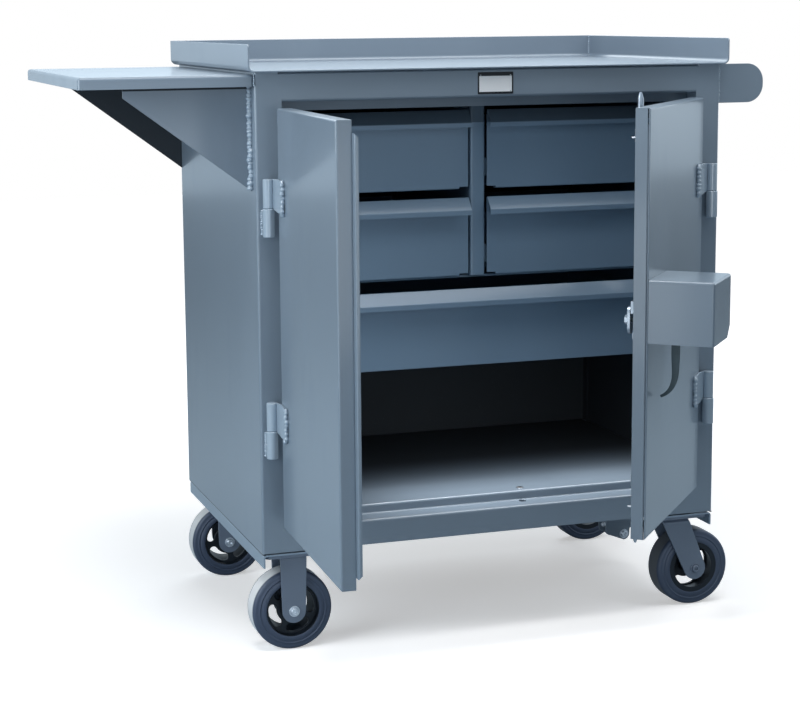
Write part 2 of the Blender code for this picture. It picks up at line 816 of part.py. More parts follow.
def lock_box():
    """Shroud round the handle for a padlock: closed above and at the sides, open below."""
    low = Vector((door_free_x, -box_depth, latch_z - box_below))
    high = Vector((door_free_x + box_width, -gap, latch_z + box_above))
    shell = block(low, high)
    folds = [edge for edge in shell.edges if min(v.co.z for v in edge.verts) > high.z - gap
             or all(v.co.y < low.y + gap for v in edge.verts)]
    folds = [edge for edge in folds if not all(v.co.y > high.y - gap / 2 for v in edge.verts)
             and not all(v.co.z < low.z + gap for v in edge.verts)]
    bmesh.ops.bevel(shell, geom=folds, offset=box_bend, segments=bend_steps, profile=0.5,
                    affect="EDGES", material=-1)
    inside = block((low.x + box_sheet, low.y + box_sheet, low.z - overrun),
                   (high.x - box_sheet, high.y + overrun, high.z - box_sheet))
    slope = box_clip_rise / box_clip_run
    clip = [(high.x - box_clip_run - overrun, low.z - overrun * slope),
            (high.x + overrun, low.z - overrun * slope),
            (high.x + overrun, low.z + box_clip_rise + overrun * slope)]
    return cut(shell, inside, extruded(clip, "Y", low.y - overrun, high.y + overrun))


for side, label in ((-1, "left"), (1, "right")):
    add_piece(f"{label}_door_panel", door_pan(side, side > 0), body_grey, f"{label}_door")
    for level, rise in (("upper", upper_hinge_rise), ("lower", lower_hinge_rise)):
        base_z = door_bottom + rise
        leaf = hinge_upper(side, base_z)
        add_piece(f"hinge_barrel_{level}_{label}", hinge_lower(side, base_z), body_grey)
        add_piece(f"hinge_leaf_{level}_{label}", leaf, body_grey, f"{label}_door")
add_piece("astragal", astragal(), body_grey, "left_door")
add_piece("lock_box", lock_box(), body_grey, "right_door")
add_piece("rod_guide_upper", rod_guide(door_top - guide_drop_high), zinc, "right_door")
add_piece("rod_guide_lower", rod_guide(door_bottom + guide_rise_low), zinc, "right_door")
add_piece("latch_rod_upper", latch_rod(door_top + rod_reach, 1), chrome, "upper_rod")
add_piece("latch_rod_lower", latch_rod(door_bottom - rod_reach, -1), chrome, "lower_rod")
add_piece("latch_lever", lever(), dark_steel, "door_handle")
add_piece("latch_cam", latch_cam(), chrome, "door_handle")


# Drawer bank: each row is a height, each column the two edges of its bay

upper_top = header_ledge - drawer_top_drop
upper_bottom = upper_top - drawer_height
lower_bottom = upper_bottom - drawer_row_gap - drawer_height
wide_top = lower_bottom - shelf_row_gap
wide_bottom = wide_top - drawer_height
drawer_rows = {"upper": upper_bottom, "lower": lower_bottom, "wide": wide_bottom}
left_bay = (-bank_half_width, -divider_half_width)
right_bay = (divider_half_width, bank_half_width)
bank_back = bank_front + bank_depth
rail_front = bank_front + drawer_front_foot + drawer_bend


def slide_rail(wall_x, hand, row_bottom):
    """Fixed C-section rail on a wall at wall_x; hand is the way it opens, towards its drawer."""
    low = row_bottom + drawer_tray_lift + slide_lift
    root = wall_x - hand * (body_sheet - slide_wall) / 2
    mouth = wall_x + hand * slide_space * slide_mouth_share
    path = [(mouth, low + slide_wall / 2), (root, low + slide_wall / 2),
            (root, low + slide_height - slide_wall / 2), (mouth, low + slide_height - slide_wall / 2)]
    return extruded(bent_strip(path, slide_wall, gap), "Y", rail_front, bank_back - bend - body_sheet * 2)


def bank_side(side):
    """Side wall of the drawer bank, a channel whose flanges meet the cabinet's side."""
    half = body_sheet / 2
    web_x = bank_half_width + half
    path = [(inner_x, bank_front + half), (web_x, bank_front + half), (web_x, bank_back - half),
            (inner_x, bank_back - half)]
    wall = extruded(bent_strip(path, body_sheet, bend), "Z", wide_bottom - bank_margin, shell_top)
    for row_bottom in drawer_rows.values():
        wall = united(wall, slide_rail(bank_half_width, -1, row_bottom))
    return on_side(wall, side)


def drawer_divider():
    """Upright channel between the left and right drawers, with their inner rails."""
    half = body_sheet / 2
    web_x = divider_half_width - half
    path = [(-web_x, bank_back - bend), (-web_x, bank_front + half), (web_x, bank_front + half),
            (web_x, bank_back - bend)]
    channel = extruded(bent_strip(path, body_sheet, bend), "Z", lower_bottom, shell_top)
    for row in ("upper", "lower"):
        for hand in (-1, 1):
            channel = united(channel, slide_rail(hand * divider_half_width, hand, drawer_rows[row]))
    return channel


def divider_shelf():
    """Plate under the two upper rows, with a folded front edge, that the divider stands on."""
    half = body_sheet / 2
    top = lower_bottom - gap
    front = bank_front + drawer_front_foot + half
    path = [(front, top - shelf_row_gap / 2), (front, top - half),
            (bank_back - bend - body_sheet, top - half)]
    reach = bank_half_width - gap
    return extruded(bent_strip(path, body_sheet, bend), "X", -reach, reach)


def drawer(bay, row_bottom):
    """Front with its sloped full-width pull, open tray and the two bars that run in the rails."""
    half = drawer_sheet / 2
    face_y = bank_front + half
    lip_y = face_y - drawer_lip_reach
    top = row_bottom + drawer_height
    lip_z = top - drawer_lip_drop
    left = bay[0] + drawer_front_gap
    right = bay[1] - drawer_front_gap
    path = [(face_y + drawer_front_foot, row_bottom + half), (face_y, row_bottom + half),
            (face_y, top - half), (lip_y, lip_z), (lip_y, lip_z - drawer_lip_height)]
    front = extruded(bent_strip(path, drawer_sheet, drawer_bend), "X", left, right)
    for edge, hand in ((left, 1), (right, -1)):
        ends = sorted((edge - hand * overrun, edge + hand * drawer_notch_width))
        notch = block((ends[0], lip_y - overrun, row_bottom - overrun),
                      (ends[1], face_y + drawer_front_foot + overrun, row_bottom + drawer_notch_height))
        front = cut(front, notch)
    low = Vector((bay[0] + slide_space, face_y, row_bottom + drawer_tray_lift))
    high = Vector((bay[1] - slide_space, bank_back - bank_margin * 2, low.z + drawer_tray_height))
    tray = block(low, high)
    bar_low = low.z + slide_lift + slide_wall + gap
    bar_high = low.z + slide_lift + slide_height - slide_wall - gap
    bar_reach = slide_space - slide_wall + body_sheet / 2 - running_gap * 2
    for edge, hand in ((low.x, -1), (high.x, 1)):
        ends = sorted((edge - hand * half, edge + hand * bar_reach))
        bar = block((ends[0], rail_front, bar_low), (ends[1], high.y, bar_high))
        tray = united(tray, bar)
    wall = Vector((drawer_sheet, drawer_sheet, drawer_sheet))
    inside = block(low + wall, (high.x - drawer_sheet, high.y - drawer_sheet, high.z + overrun))
    return united(cut(tray, inside), front)


for side, label in ((-1, "left"), (1, "right")):
    add_piece(f"bank_side_{label}", bank_side(side), drawer_grey)
add_piece("drawer_divider", drawer_divider(), drawer_grey)
add_piece("divider_shelf", divider_shelf(), drawer_grey)
drawer_places = {
    "drawer_upper_left": (left_bay, "upper"),
    "drawer_upper_right": (right_bay, "upper"),
    "drawer_lower_left": (left_bay, "lower"),
    "drawer_lower_right": (right_bay, "lower"),
    "drawer_wide": ((-bank_half_width, bank_half_width), "wide"),
}
for name, (bay, row) in drawer_places.items():
    add_body(name, (sum(bay) / 2, bank_front, drawer_rows[row]), "cart")
    add_piece(name, drawer(bay, drawer_rows[row]), drawer_grey, name)


# Casters: two rigid on the left, two swivelling on the right


def fork(centre_y, crown_top, outline):
    """U-shaped fork bent from one strip and trimmed to its side outline."""
    reach = (fork_inner_width + fork_sheet) / 2
    low = wheel_radius - leg_end_radius - overrun
    crown = crown_top - fork_sheet / 2
    near = centre_y - reach
    far = centre_y + reach
    path = [(near, low), (near, crown), (far, crown), (far, low)]
    low_x = min(point[0] for point in outline) - overrun
    high_x = max(point[0] for point in outline) + overrun
    strap = extruded(bent_strip(path, fork_sheet, fork_bend), "X", low_x, high_x)
    return common(strap, extruded(outline, "Y", centre_y - reach * 2, centre_y + reach * 2))


def axle_bolt(centre_x, centre_y):
    """Axle with a head and a nut against the fork's legs."""
    near = centre_y - fork_inner_width / 2 - fork_sheet
    far = centre_y + fork_inner_width / 2 + fork_sheet
    centre = (centre_x, wheel_radius)
    bar = rod(centre, "Y", near, far, axle_radius)
    head = rod(centre, "Y", near - bolt_head_height, near + gap, bolt_head_radius, 6)
    nut = rod(centre, "Y", far - gap, far + bolt_head_height, bolt_head_radius, 6)
    return united(bar, head, nut)


def caster_plate(centre_x, centre_y):
    """Top plate of a caster, its corners cut off square to the diagonal."""
    corner = plate_thickness
    half_x = plate_length / 2
    half_y = plate_width / 2
    outline = []
    for hand_x, hand_y in ((1, 1), (-1, 1), (-1, -1), (1, -1)):
        ends = [(centre_x + hand_x * half_x, centre_y + hand_y * (half_y - corner)),
                (centre_x + hand_x * (half_x - corner), centre_y + hand_y * half_y)]
        outline += ends if hand_x * hand_y > 0 else ends[::-1]
    return extruded(outline, "Z", caster_height - plate_thickness, caster_height)


def rigid_fork(centre_y):
    """Plate, fork and axle of a caster that doesn't swivel."""
    crown_top = caster_height - plate_thickness + gap
    half = rigid_leg_width / 2
    trim = crown_top + overrun
    outline = leg_outline((-caster_x - half, trim), (-caster_x + half, trim),
                          (-caster_x, wheel_radius), leg_end_radius)
    legs = fork(centre_y, crown_top, outline)
    return united(caster_plate(-caster_x, centre_y), legs, axle_bolt(-caster_x, centre_y))


def swivel_plate(centre_y):
    """Plate with the upper race and the kingpin that holds the fork."""
    race_top = caster_height - plate_thickness / 2
    race_bottom = caster_height - plate_thickness - race_height
    head_top = race_bottom - gap - fork_sheet - gap
    head_bottom = head_top - kingpin_head_height
    profile = [(0, race_top), (race_radius, race_top), (race_radius, race_bottom),
               (kingpin_radius, race_bottom), (kingpin_radius, head_top), (kingpin_head_radius, head_top),
               (kingpin_head_radius, head_bottom), (0, head_bottom)]
    kingpin = turned(profile, (caster_x, centre_y, 0), "Z", hub_round)
    return united(caster_plate(caster_x, centre_y), kingpin)


def swivel_fork(centre_y):
    """Raked fork that trails behind its swivel, with the axle."""
    crown_top = caster_height - plate_thickness - race_height - gap
    trim = crown_top + overrun
    outline = leg_outline((caster_x - crown_back, trim), (caster_x + crown_front, trim),
                          (swivel_wheel_x, wheel_radius), leg_end_radius)
    legs = fork(centre_y, crown_top, outline)
    hole = rod((caster_x, centre_y), "Z", crown_top - fork_sheet - overrun, trim,
               kingpin_radius + running_gap, hub_round)
    return united(cut(legs, hole), axle_bolt(swivel_wheel_x, centre_y))


def tyre():
    """Moulded rubber tyre with rounded shoulders, round the Y axis."""
    inner = wheel_radius - tyre_wall
    half = wheel_width / 2
    shoulder = (wheel_radius - tyre_corner, half - tyre_corner)
    top = arc(shoulder, tyre_corner, 0, math.pi / 2, bend_steps)
    bottom = [(radius, -height) for radius, height in reversed(top)]
    return turned([(inner, -half)] + bottom + top + [(inner, half)], (0, 0, 0), "Y", wheel_round)


def wheel_hub():
    """Cast hub and rim joined by a web with curved slots, round the Y axis."""
    rim_outer = wheel_radius - tyre_wall - gap
    rim_inner = rim_outer - rim_wall
    rim_half = wheel_width / 2 - gap
    web_half = web_thickness / 2
    bore = axle_radius + running_gap
    above = [(rim_outer, rim_half), (rim_inner, rim_half), (rim_inner, web_half), (hub_radius, web_half),
             (hub_radius, hub_length / 2), (bore, hub_length / 2)]
    below = [(radius, -height) for radius, height in reversed(above)]
    hub = turned(below + above, (0, 0, 0), "Y", hub_round)
    middle = (slot_inner_radius + slot_outer_radius) / 2
    end_radius = (slot_outer_radius - slot_inner_radius) / 2
    for index in range(slot_count):
        start = math.tau / slot_count * (index - slot_length_share / 2)
        stop = start + math.tau / slot_count * slot_length_share
        outline = arc((0, 0), slot_outer_radius, start, stop, bend_steps * 2)
        outline += arc((middle * math.cos(stop), middle * math.sin(stop)), end_radius, stop, stop + math.pi,
                       bend_steps)[1:-1]
        outline += arc((0, 0), slot_inner_radius, stop, start, bend_steps * 2)
        outline += arc((middle * math.cos(start), middle * math.sin(start)), end_radius, start + math.pi,
                       start + math.tau, bend_steps)[1:-1]
        hub = cut(hub, extruded(outline, "Y", -web_thickness, web_thickness))
    return hub


tyre_shape = tyre()
hub_shape = wheel_hub()
for row, row_y in caster_rows.items():
    add_piece(f"rigid_fork_{row}", rigid_fork(row_y), fork_grey)
    add_piece(f"swivel_plate_{row}", swivel_plate(row_y), fork_grey)
    add_piece(f"swivel_fork_{row}", swivel_fork(row_y), fork_grey, f"{row}_swivel")
    for label, wheel_x in (("left", -caster_x), ("right", swivel_wheel_x)):
        turn = Matrix.Rotation(math.tau * wheel_turn_shares[f"{row}_{label}"], 4, "Y")
        spot = Matrix.Translation((wheel_x, row_y, wheel_radius)) @ turn
        for piece, shape, material in (("tyre", tyre_shape, tyre_rubber), ("hub", hub_shape, hub_black)):
            placed = shape.copy()
            placed.transform(spot)
            add_piece(f"{piece}_{row}_{label}", placed, material, f"{row}_{label}_wheel")
tyre_shape.free()
hub_shape.free()


# Floor lock: a foot pedal pushes a rubber pad down onto the floor

lock_y = cabinet_depth / 2
lock_pivot = (caster_x + lock_pivot_reach, lock_pivot_height)
lock_stem_x = caster_x - lock_foot_reach


def floor_lock_frame():
    """Plate under the base angle, two cheeks, the pedal's bolt and the guide for the stem."""
    half_x = lock_plate_length / 2
    half_y = lock_plate_width / 2
    plate_bottom = caster_height - lock_plate_thickness
    plate = block((caster_x - half_x, lock_y - half_y, plate_bottom),
                  (caster_x + half_x, lock_y + half_y, caster_height))
    reach = (lock_inner_width + lock_sheet) / 2
    crown = plate_bottom + gap - lock_sheet / 2
    low = lock_pivot_height - lock_nose_radius * 2
    near = lock_y - reach
    far = lock_y + reach
    folded = bent_strip([(near, low), (near, crown), (far, crown), (far, low)], lock_sheet, lock_sheet / 2)
    strap = extruded(folded, "X", caster_x - half_x, caster_x + half_x)
    outline = [(caster_x + lock_top_half, caster_height), (caster_x - lock_top_half, caster_height)]
    heel = (caster_x - lock_heel_reach, lock_heel_height)
    outline += arc(heel, lock_heel_radius, math.pi, math.pi * 3 / 2, bend_steps + 1)
    outline += arc(lock_pivot, lock_nose_radius, -math.pi / 2, 0, bend_steps * 2)
    cheeks = common(strap, extruded(outline, "Y", lock_y - reach * 2, lock_y + reach * 2))
    guide_low = lock_pivot_height + lock_guide_rise
    guide_y = lock_inner_width / 2 + gap
    guide = block((lock_stem_x - lock_guide_half, lock_y - guide_y, guide_low),
                  (lock_stem_x + lock_guide_half, lock_y + guide_y, guide_low + lock_guide_height))
    bore = rod((lock_stem_x, lock_y), "Z", guide_low - overrun, guide_low + lock_guide_height + overrun,
               lock_stem_radius + gap)
    near -= lock_sheet / 2
    far += lock_sheet / 2
    bolt = rod(lock_pivot, "Y", near, far, lock_bolt_radius)
    head = rod(lock_pivot, "Y", near - lock_sheet, near + gap, lock_bolt_radius * 2, 6)
    nut = rod(lock_pivot, "Y", far - gap, far + lock_sheet, lock_bolt_radius * 2, 6)
    return cut(united(plate, cheeks, guide, bolt, head, nut), bore)


def floor_lock_pedal():
    """Short arm with an eye on the bolt and a tread plate at its end."""
    knee = (lock_pivot[0] + pedal_arm_reach, lock_pivot[1] + pedal_arm_rise)
    path = [lock_pivot, knee, (knee[0] + pedal_pad_length, knee[1])]
    bar = bent_strip(path, pedal_arm_thickness, pedal_arm_thickness / 2)
    half = pedal_width / 2
    arm = extruded(bar, "Y", lock_y - half, lock_y + half)
    eye = rod(lock_pivot, "Y", lock_y - half, lock_y + half, pedal_eye_radius)
    pad_half = pedal_pad_width / 2
    tread_end = (knee[0] + pedal_pad_length + gap, knee[1] + pedal_arm_thickness / 2 + gap)
    tread = block((knee[0], lock_y - pad_half, knee[1]), (tread_end[0], lock_y + pad_half, tread_end[1]))
    bore_radius = lock_bolt_radius + running_gap
    bore = rod(lock_pivot, "Y", lock_y - pedal_width, lock_y + pedal_width, bore_radius)
    return cut(united(arm, eye, tread), bore)


def floor_lock_foot():
    """Rubber pad on a round stem that slides in the guide."""
    pad_top = lock_foot_height + lock_pad_height
    corner = lock_pad_height * pad_corner_share
    profile = [(0, lock_foot_height), (lock_pad_radius - corner, lock_foot_height),
               (lock_pad_radius, lock_foot_height + corner), (lock_pad_radius, pad_top - corner),
               (lock_pad_radius - corner, pad_top), (lock_stem_radius, pad_top),
               (lock_stem_radius, lock_stem_top), (0, lock_stem_top)]
    return turned(profile, (lock_stem_x, lock_y, 0), "Z", small_round)


add_piece("floor_lock_frame", floor_lock_frame(), fork_grey)
add_piece("floor_lock_pedal", floor_lock_pedal(), fork_grey, "floor_lock_pedal")
add_piece("floor_lock_foot", floor_lock_foot(), tyre_rubber, "floor_lock_foot")
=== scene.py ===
"""Looks of a mobile steel tool cabinet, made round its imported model.

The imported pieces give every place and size. Each section below takes one group of real pieces,
in the order in which the cabinet is put together.
"""

import json
import math
import random

import bmesh
import bpy
from mathutils import Matrix, Vector

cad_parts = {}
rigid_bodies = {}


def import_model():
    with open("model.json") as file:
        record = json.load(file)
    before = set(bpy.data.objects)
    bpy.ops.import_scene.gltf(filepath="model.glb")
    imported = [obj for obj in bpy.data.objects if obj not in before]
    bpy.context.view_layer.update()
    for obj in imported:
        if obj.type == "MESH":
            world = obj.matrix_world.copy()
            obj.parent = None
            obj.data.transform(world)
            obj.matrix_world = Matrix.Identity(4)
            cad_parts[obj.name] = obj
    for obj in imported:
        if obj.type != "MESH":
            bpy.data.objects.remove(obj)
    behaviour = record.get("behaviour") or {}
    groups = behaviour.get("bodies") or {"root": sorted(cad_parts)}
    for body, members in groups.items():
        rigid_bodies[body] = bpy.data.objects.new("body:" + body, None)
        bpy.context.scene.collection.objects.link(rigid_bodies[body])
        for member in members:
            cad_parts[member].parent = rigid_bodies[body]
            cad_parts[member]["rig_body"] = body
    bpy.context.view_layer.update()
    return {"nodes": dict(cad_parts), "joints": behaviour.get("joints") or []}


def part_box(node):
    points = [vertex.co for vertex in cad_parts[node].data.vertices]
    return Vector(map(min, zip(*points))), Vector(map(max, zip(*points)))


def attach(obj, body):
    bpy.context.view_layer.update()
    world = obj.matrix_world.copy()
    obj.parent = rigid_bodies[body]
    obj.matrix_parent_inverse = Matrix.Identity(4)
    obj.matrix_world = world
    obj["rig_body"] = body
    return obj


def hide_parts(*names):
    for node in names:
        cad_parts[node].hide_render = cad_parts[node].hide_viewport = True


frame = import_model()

# Floor, light and camera. The cabinet stands on a white studio floor under soft lamps, seen from
# its front left and a little above, with a long lens.
photo_width = 800
photo_height = 711
focal_pixels = 1912.3
axis_column = 371.36
axis_row = 310.91
eye = (-1.3062, -3.2796, 1.1707)
yaw = math.radians(17.941)
pitch = math.radians(8.833)
roll = math.radians(0.525)

left_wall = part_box("left_side_panel")
right_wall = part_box("right_side_panel")
middle_x = (left_wall[0].x + right_wall[1].x) / 2
front_y = left_wall[0].y


def at(right, back, up):
    """A point measured from the middle of the cabinet's front face, on the floor."""
    return Vector((middle_x + right, front_y + back, up))


def put_in_scene(name, data):
    """A mesh, curve, lamp or camera as an object of the scene."""
    thing = bpy.data.objects.new(name, data)
    bpy.context.scene.collection.objects.link(thing)
    return thing


lens = bpy.data.cameras.new("camera")
lens.sensor_fit = "HORIZONTAL"
lens.sensor_width = 36
lens.lens = lens.sensor_width * focal_pixels / photo_width
lens.shift_x = (photo_width / 2 - axis_column) / photo_width
lens.shift_y = (axis_row - photo_height / 2) / photo_width
camera = put_in_scene("camera", lens)
tilt = Matrix.Rotation(math.pi / 2 - pitch, 4, "X") @ Matrix.Rotation(-roll, 4, "Z")
camera.matrix_world = Matrix.Translation(at(*eye)) @ Matrix.Rotation(-yaw, 4, "Z") @ tilt
bpy.context.scene.camera = camera
bpy.context.scene.view_settings.view_transform = "Standard"


class Value:
    """A number or colour that a material node puts out; sums on it add Math nodes."""

    def __init__(self, tree, socket):
        self.tree = tree
        self.socket = socket

    def worked(self, operation, *terms):
        node = self.tree.nodes.new("ShaderNodeMath")
        node.operation = operation
        for socket, term in zip(node.inputs, terms):
            feed(self.tree, socket, term)
        return Value(self.tree, node.outputs[0])

    def __add__(self, other):
        return self.worked("ADD", self, other)

    def __sub__(self, other):
        return self.worked("SUBTRACT", self, other)

    def __rsub__(self, other):
        return self.worked("SUBTRACT", other, self)

    def __mul__(self, other):
        return self.worked("MULTIPLY", self, other)

    def __gt__(self, other):
        return self.worked("GREATER_THAN", self, other)

    def __lt__(self, other):
        return self.worked("LESS_THAN", self, other)

    def __abs__(self):
        return self.worked("ABSOLUTE", self)

    __radd__ = __add__
    __rmul__ = __mul__


def feed(tree, socket, value):
    """Links a value to a node's socket, or sets a plain number or colour on it."""
    if isinstance(value, Value):
        tree.links.new(value.socket, socket)
    else:
        socket.default_value = value


class Finish:
    """A material: node adds one node, and set joins a value to the surface."""

    def __init__(self, name, tree=None):
        if tree is None:
            self.material = bpy.data.materials.new(name)
            self.material.use_nodes = True
            tree = self.material.node_tree
            self.surface = tree.nodes["Principled BSDF"]
        self.tree = tree

    def node(self, kind, settings, sockets, output=0):
        node = self.tree.nodes.new("ShaderNode" + kind)
        for name, value in settings.items():
            if name == "stops":
                ramp = node.color_ramp.elements
                while len(ramp) < len(value):
                    ramp.new(1)
                for stop, (position, level) in zip(ramp, value):
                    stop.position = position
                    stop.color = (level, level, level, 1)
            else:
                setattr(node, name, value)
        for name, value in sockets.items():
            feed(self.tree, node.inputs[name], value)
        return Value(self.tree, node.outputs[output])

    def set(self, name, value):
        feed(self.tree, self.surface.inputs[name], value)

    def place(self):
        """A point's place in the object's own coordinates."""
        return self.node("TexCoord", {}, {}, "Object")

    def along(self, axis):
        return self.node("SeparateXYZ", {}, {0: self.place()}, axis)

    def ray(self, kind):
        """1 where the light path is of this kind, and 0 for all others."""
        return self.node("LightPath", {}, {}, kind)

    def noise(self, scale, detail=2.0, stretch=(1, 1, 1), roughness=0.5):
        """A cloudy pattern between 0 and 1, finer with scale, drawn out where stretch is small."""
        spot = self.node("Mapping", {}, {"Vector": self.place(), "Scale": stretch})
        return self.node("TexNoise", {}, {"Vector": spot, "Scale": scale, "Detail": detail,
                                          "Roughness": roughness})

    def ramp(self, value, *stops):
        """A value remapped by stops, each a position and its level."""
        return self.node("ValToRGB", {"stops": stops}, {"Fac": value})

    def mixed(self, share, colour, other):
        """The first colour where share is 0 and the other where it is 1."""
        return self.node("Mix", {"data_type": "RGBA"}, {0: share, 6: colour, 7: other}, 2)

    def bump(self, height, distance, strength=1.0):
        normal = self.node("Bump", {}, {"Height": height, "Distance": distance, "Strength": strength})
        self.set("Normal", normal)


floor_reach = 9
floor_colour = (0.86, 0.86, 0.865, 1)
floor_bounce = (0.28, 0.37, 0.45, 1)
floor_sheen = (0.44, 0.54, 0.62, 1)
floor_glow = 0.45
floor_mirror = 0.1
fade_start = 1.25
fade_end = 2.6
ambient = 0.05
studio_white = (1, 1, 1, 1)
studio_blue = (0.70, 0.86, 1.0, 1)

floor_shape = bmesh.new()
bmesh.ops.create_grid(floor_shape, x_segments=1, y_segments=1, size=floor_reach)
floor_mesh = bpy.data.meshes.new("floor")
floor_shape.to_mesh(floor_mesh)
floor_shape.free()
floor = put_in_scene("floor", floor_mesh)
floor_finish = Finish("studio_floor")
diffused = floor_finish.ray("Is Diffuse Ray")
mirrored = floor_finish.ray("Is Glossy Ray")
tone = floor_finish.mixed(mirrored, floor_colour, floor_sheen)
floor_finish.set("Base Color", floor_finish.mixed(diffused, tone, floor_bounce))
floor_finish.set("Roughness", 0.9)
floor_finish.set("Specular IOR Level", 0.0)
seen = floor_finish.ray("Is Camera Ray")
passed = floor_finish.ray("Is Transmission Ray")
far_away = floor_finish.node("VectorMath", {"operation": "LENGTH"}, {0: floor_finish.place()}, "Value")
fade = floor_finish.node("MapRange", {"interpolation_type": "SMOOTHSTEP"},
                         {"Value": far_away, "From Min": fade_start, "From Max": fade_end,
                          "To Min": floor_glow, "To Max": 1.0})
floor_finish.set("Emission Color", floor_finish.mixed(mirrored, studio_white, studio_blue))
floor_finish.set("Emission Strength", (seen + passed) * fade + mirrored * floor_mirror)
floor_mesh.materials.append(floor_finish.material)

world = bpy.data.worlds.new("studio")
bpy.context.scene.world = world
world.use_nodes = True
sky = Finish("studio", world.node_tree)
reflected = sky.ray("Is Glossy Ray")
shown = sky.ray("Is Camera Ray") + reflected + sky.ray("Is Transmission Ray")
sky_level = shown * (1 - ambient) + ambient
background = world.node_tree.nodes["Background"]
tint = sky.mixed(reflected, studio_white, studio_blue)
feed(sky.tree, background.inputs["Color"], tint)
feed(sky.tree, background.inputs["Strength"], sky_level)


def soft_lamp(name, place, target, width, height, power, colour=(1, 1, 1)):
    """A large flat lamp that points at a place on the cabinet."""
    light = bpy.data.lights.new(name, "AREA")
    light.shape = "RECTANGLE"
    light.size = width
    light.size_y = height
    light.energy = power
    light.color = colour
    lamp = put_in_scene(name, light)
    lamp.location = at(*place)
    lamp.rotation_euler = (at(*target) - lamp.location).to_track_quat("-Z", "Y").to_euler()


cool = (0.87, 0.945, 1.0)
for name, *lamp in (
        ("over", (0.25, -0.45, 3.2), (0, 0.1, 0.4), 2.4, 1.5, 45),
        ("key", (-1.1, -0.5, 3.1), (-0.1, 0.1, 0.8), 0.55, 0.55, 20),
        ("front", (-0.5, -3.4, 0.45), (0, 0.0, 0.35), 1.8, 0.7, 12, cool),
        ("left", (-2.7, -0.8, 1.5), (-0.4, 0.0, 0.6), 1.4, 1.6, 47, cool),
        ("low", (-2.3, -1.5, 0.35), (-0.4, 0.1, 0.25), 1.2, 0.5, 6, cool),
        ("right", (1.7, -1.0, 2.5), (0.4, -0.2, 0.7), 1.0, 1.2, 13, cool),
        ("side", (3.0, 0.7, 1.3), (0.4, 0.2, 0.6), 1.2, 1.2, 9, cool),
        ("back", (0.4, 2.6, 2.6), (0, 0.2, 0.4), 2.4, 1.6, 31, cool),
        ("shelf", (0.12, 0.055, 0.39), (0.12, 0.075, 0.26), 0.66, 0.04, 1.0)):
    soft_lamp("lamp_" + name, *lamp)

# Side walls. Each is one 1.9 mm steel sheet: the wall, the front post that it turns into round a
# soft bend, and the post's return. Satin blue-grey powder coat covers every welded sheet.
coat_blue = (0.160, 0.208, 0.262, 1)
coat_light = (0.195, 0.246, 0.302, 1)
coat_worn = (0.205, 0.262, 0.325, 1)
# Near black for painted shade: the colour that shaded coat turns to.
painted_shade_dark = (0.012, 0.017, 0.023, 1)
coat_gloss = 0.55
# Over these distances behind the front, painted shade grows on the walls and on the cabinet floor.
wall_shade_fade = (0.0, 0.13)
floor_shade_fade = (0.12, 0.36)
wall_sheet = 0.0019
wall_inset = wall_sheet * 0.7
wall_bend = 0.0038
wall_gap = 0.0022
sheet_ease = 0.0003
fine_bend = 6
hands = (("left", -1), ("right", 1))
still = Matrix.Identity(4)


def within(finish, axis, low, high):
    """1 where the surface lies between two places along an axis, and 0 elsewhere."""
    spot = finish.along(axis)
    return (spot > low) * (spot < high)


def powder_coat(name, colour=coat_blue, light=coat_light, worn=coat_worn, roughness=0.36, shade_room=None,
                fade=wall_shade_fade, depth=1.0):
    """Satin powder coat: cloudy tone, faint upright wiping marks, rubs and a fine orange peel. Between
    the two corners of the room it is given, shade is painted into the coat: it turns near black and
    dull there. The fade gives two distances behind the cabinet's front, and between them this painted
    shade grows from nothing to depth."""
    finish = Finish(name)
    cloud = finish.noise(2.6, 4.0, roughness=0.6)
    wipe = finish.noise(9.0, 3.0, (1, 1, 0.16))
    rub = finish.ramp(finish.noise(5.5, 6.0, (1, 1, 0.45), 0.62), (0.56, 0), (0.80, 1))
    speck = finish.ramp(finish.noise(210.0, 2.0), (0.70, 0), (0.76, 1))
    tone = finish.mixed(cloud * 0.75 + wipe * 0.25, colour, light)
    gloss = coat_gloss
    # Painted shade: inside the room the tone goes towards near black, the rubs go and the coat turns
    # dull.
    if shade_room is not None:
        dark = finish.node("MapRange", {"interpolation_type": "SMOOTHSTEP"},
                           {"Value": finish.along("Y"), "From Min": front_y + fade[0],
                            "From Max": front_y + fade[1], "To Max": depth})
        for axis, low, high in zip("XYZ", *shade_room):
            dark = dark * within(finish, axis, low, high)
        tone = finish.mixed(dark, tone, painted_shade_dark)
        rub = rub - rub * dark
        gloss = coat_gloss - dark * coat_gloss
        roughness = dark * 0.4 + roughness
    finish.set("Base Color", finish.mixed(rub * 0.30 + speck * 0.06, tone, worn))
    finish.set("Roughness", cloud * 0.07 + rub * 0.10 + (roughness - 0.04))
    finish.set("Coat Weight", gloss)
    finish.set("Coat Roughness", 0.13)
    finish.bump(finish.noise(420.0, 1.0), 0.00006, 0.16)
    return finish.material


header_low, header_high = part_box("header_rail")
sill_low, sill_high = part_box("shelf_floor")
# Inside the cabinet, between the walls and behind the front, the body coat gets painted shade that is
# near black towards the back.
shaded_inside = (Vector((left_wall[0].x + wall_inset, front_y, sill_high.z - wall_sheet / 2)),
          Vector((right_wall[1].x - wall_inset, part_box("back_panel")[1].y - wall_sheet / 2,
                  left_wall[1].z)))
body_coat = powder_coat("body_coat", shade_room=shaded_inside)


def drawn_out(shape, edges, travel):
    """Draws edges out into faces by a distance, and gives their new points."""
    grown = bmesh.ops.extrude_edge_only(shape, edges=edges)["geom"]
    points = [v for v in grown if isinstance(v, bmesh.types.BMVert)]
    bmesh.ops.translate(shape, verts=points, vec=travel)
    return points


def face_out(shape):
    """Turns all faces outwards."""
    bmesh.ops.recalc_face_normals(shape, faces=shape.faces)


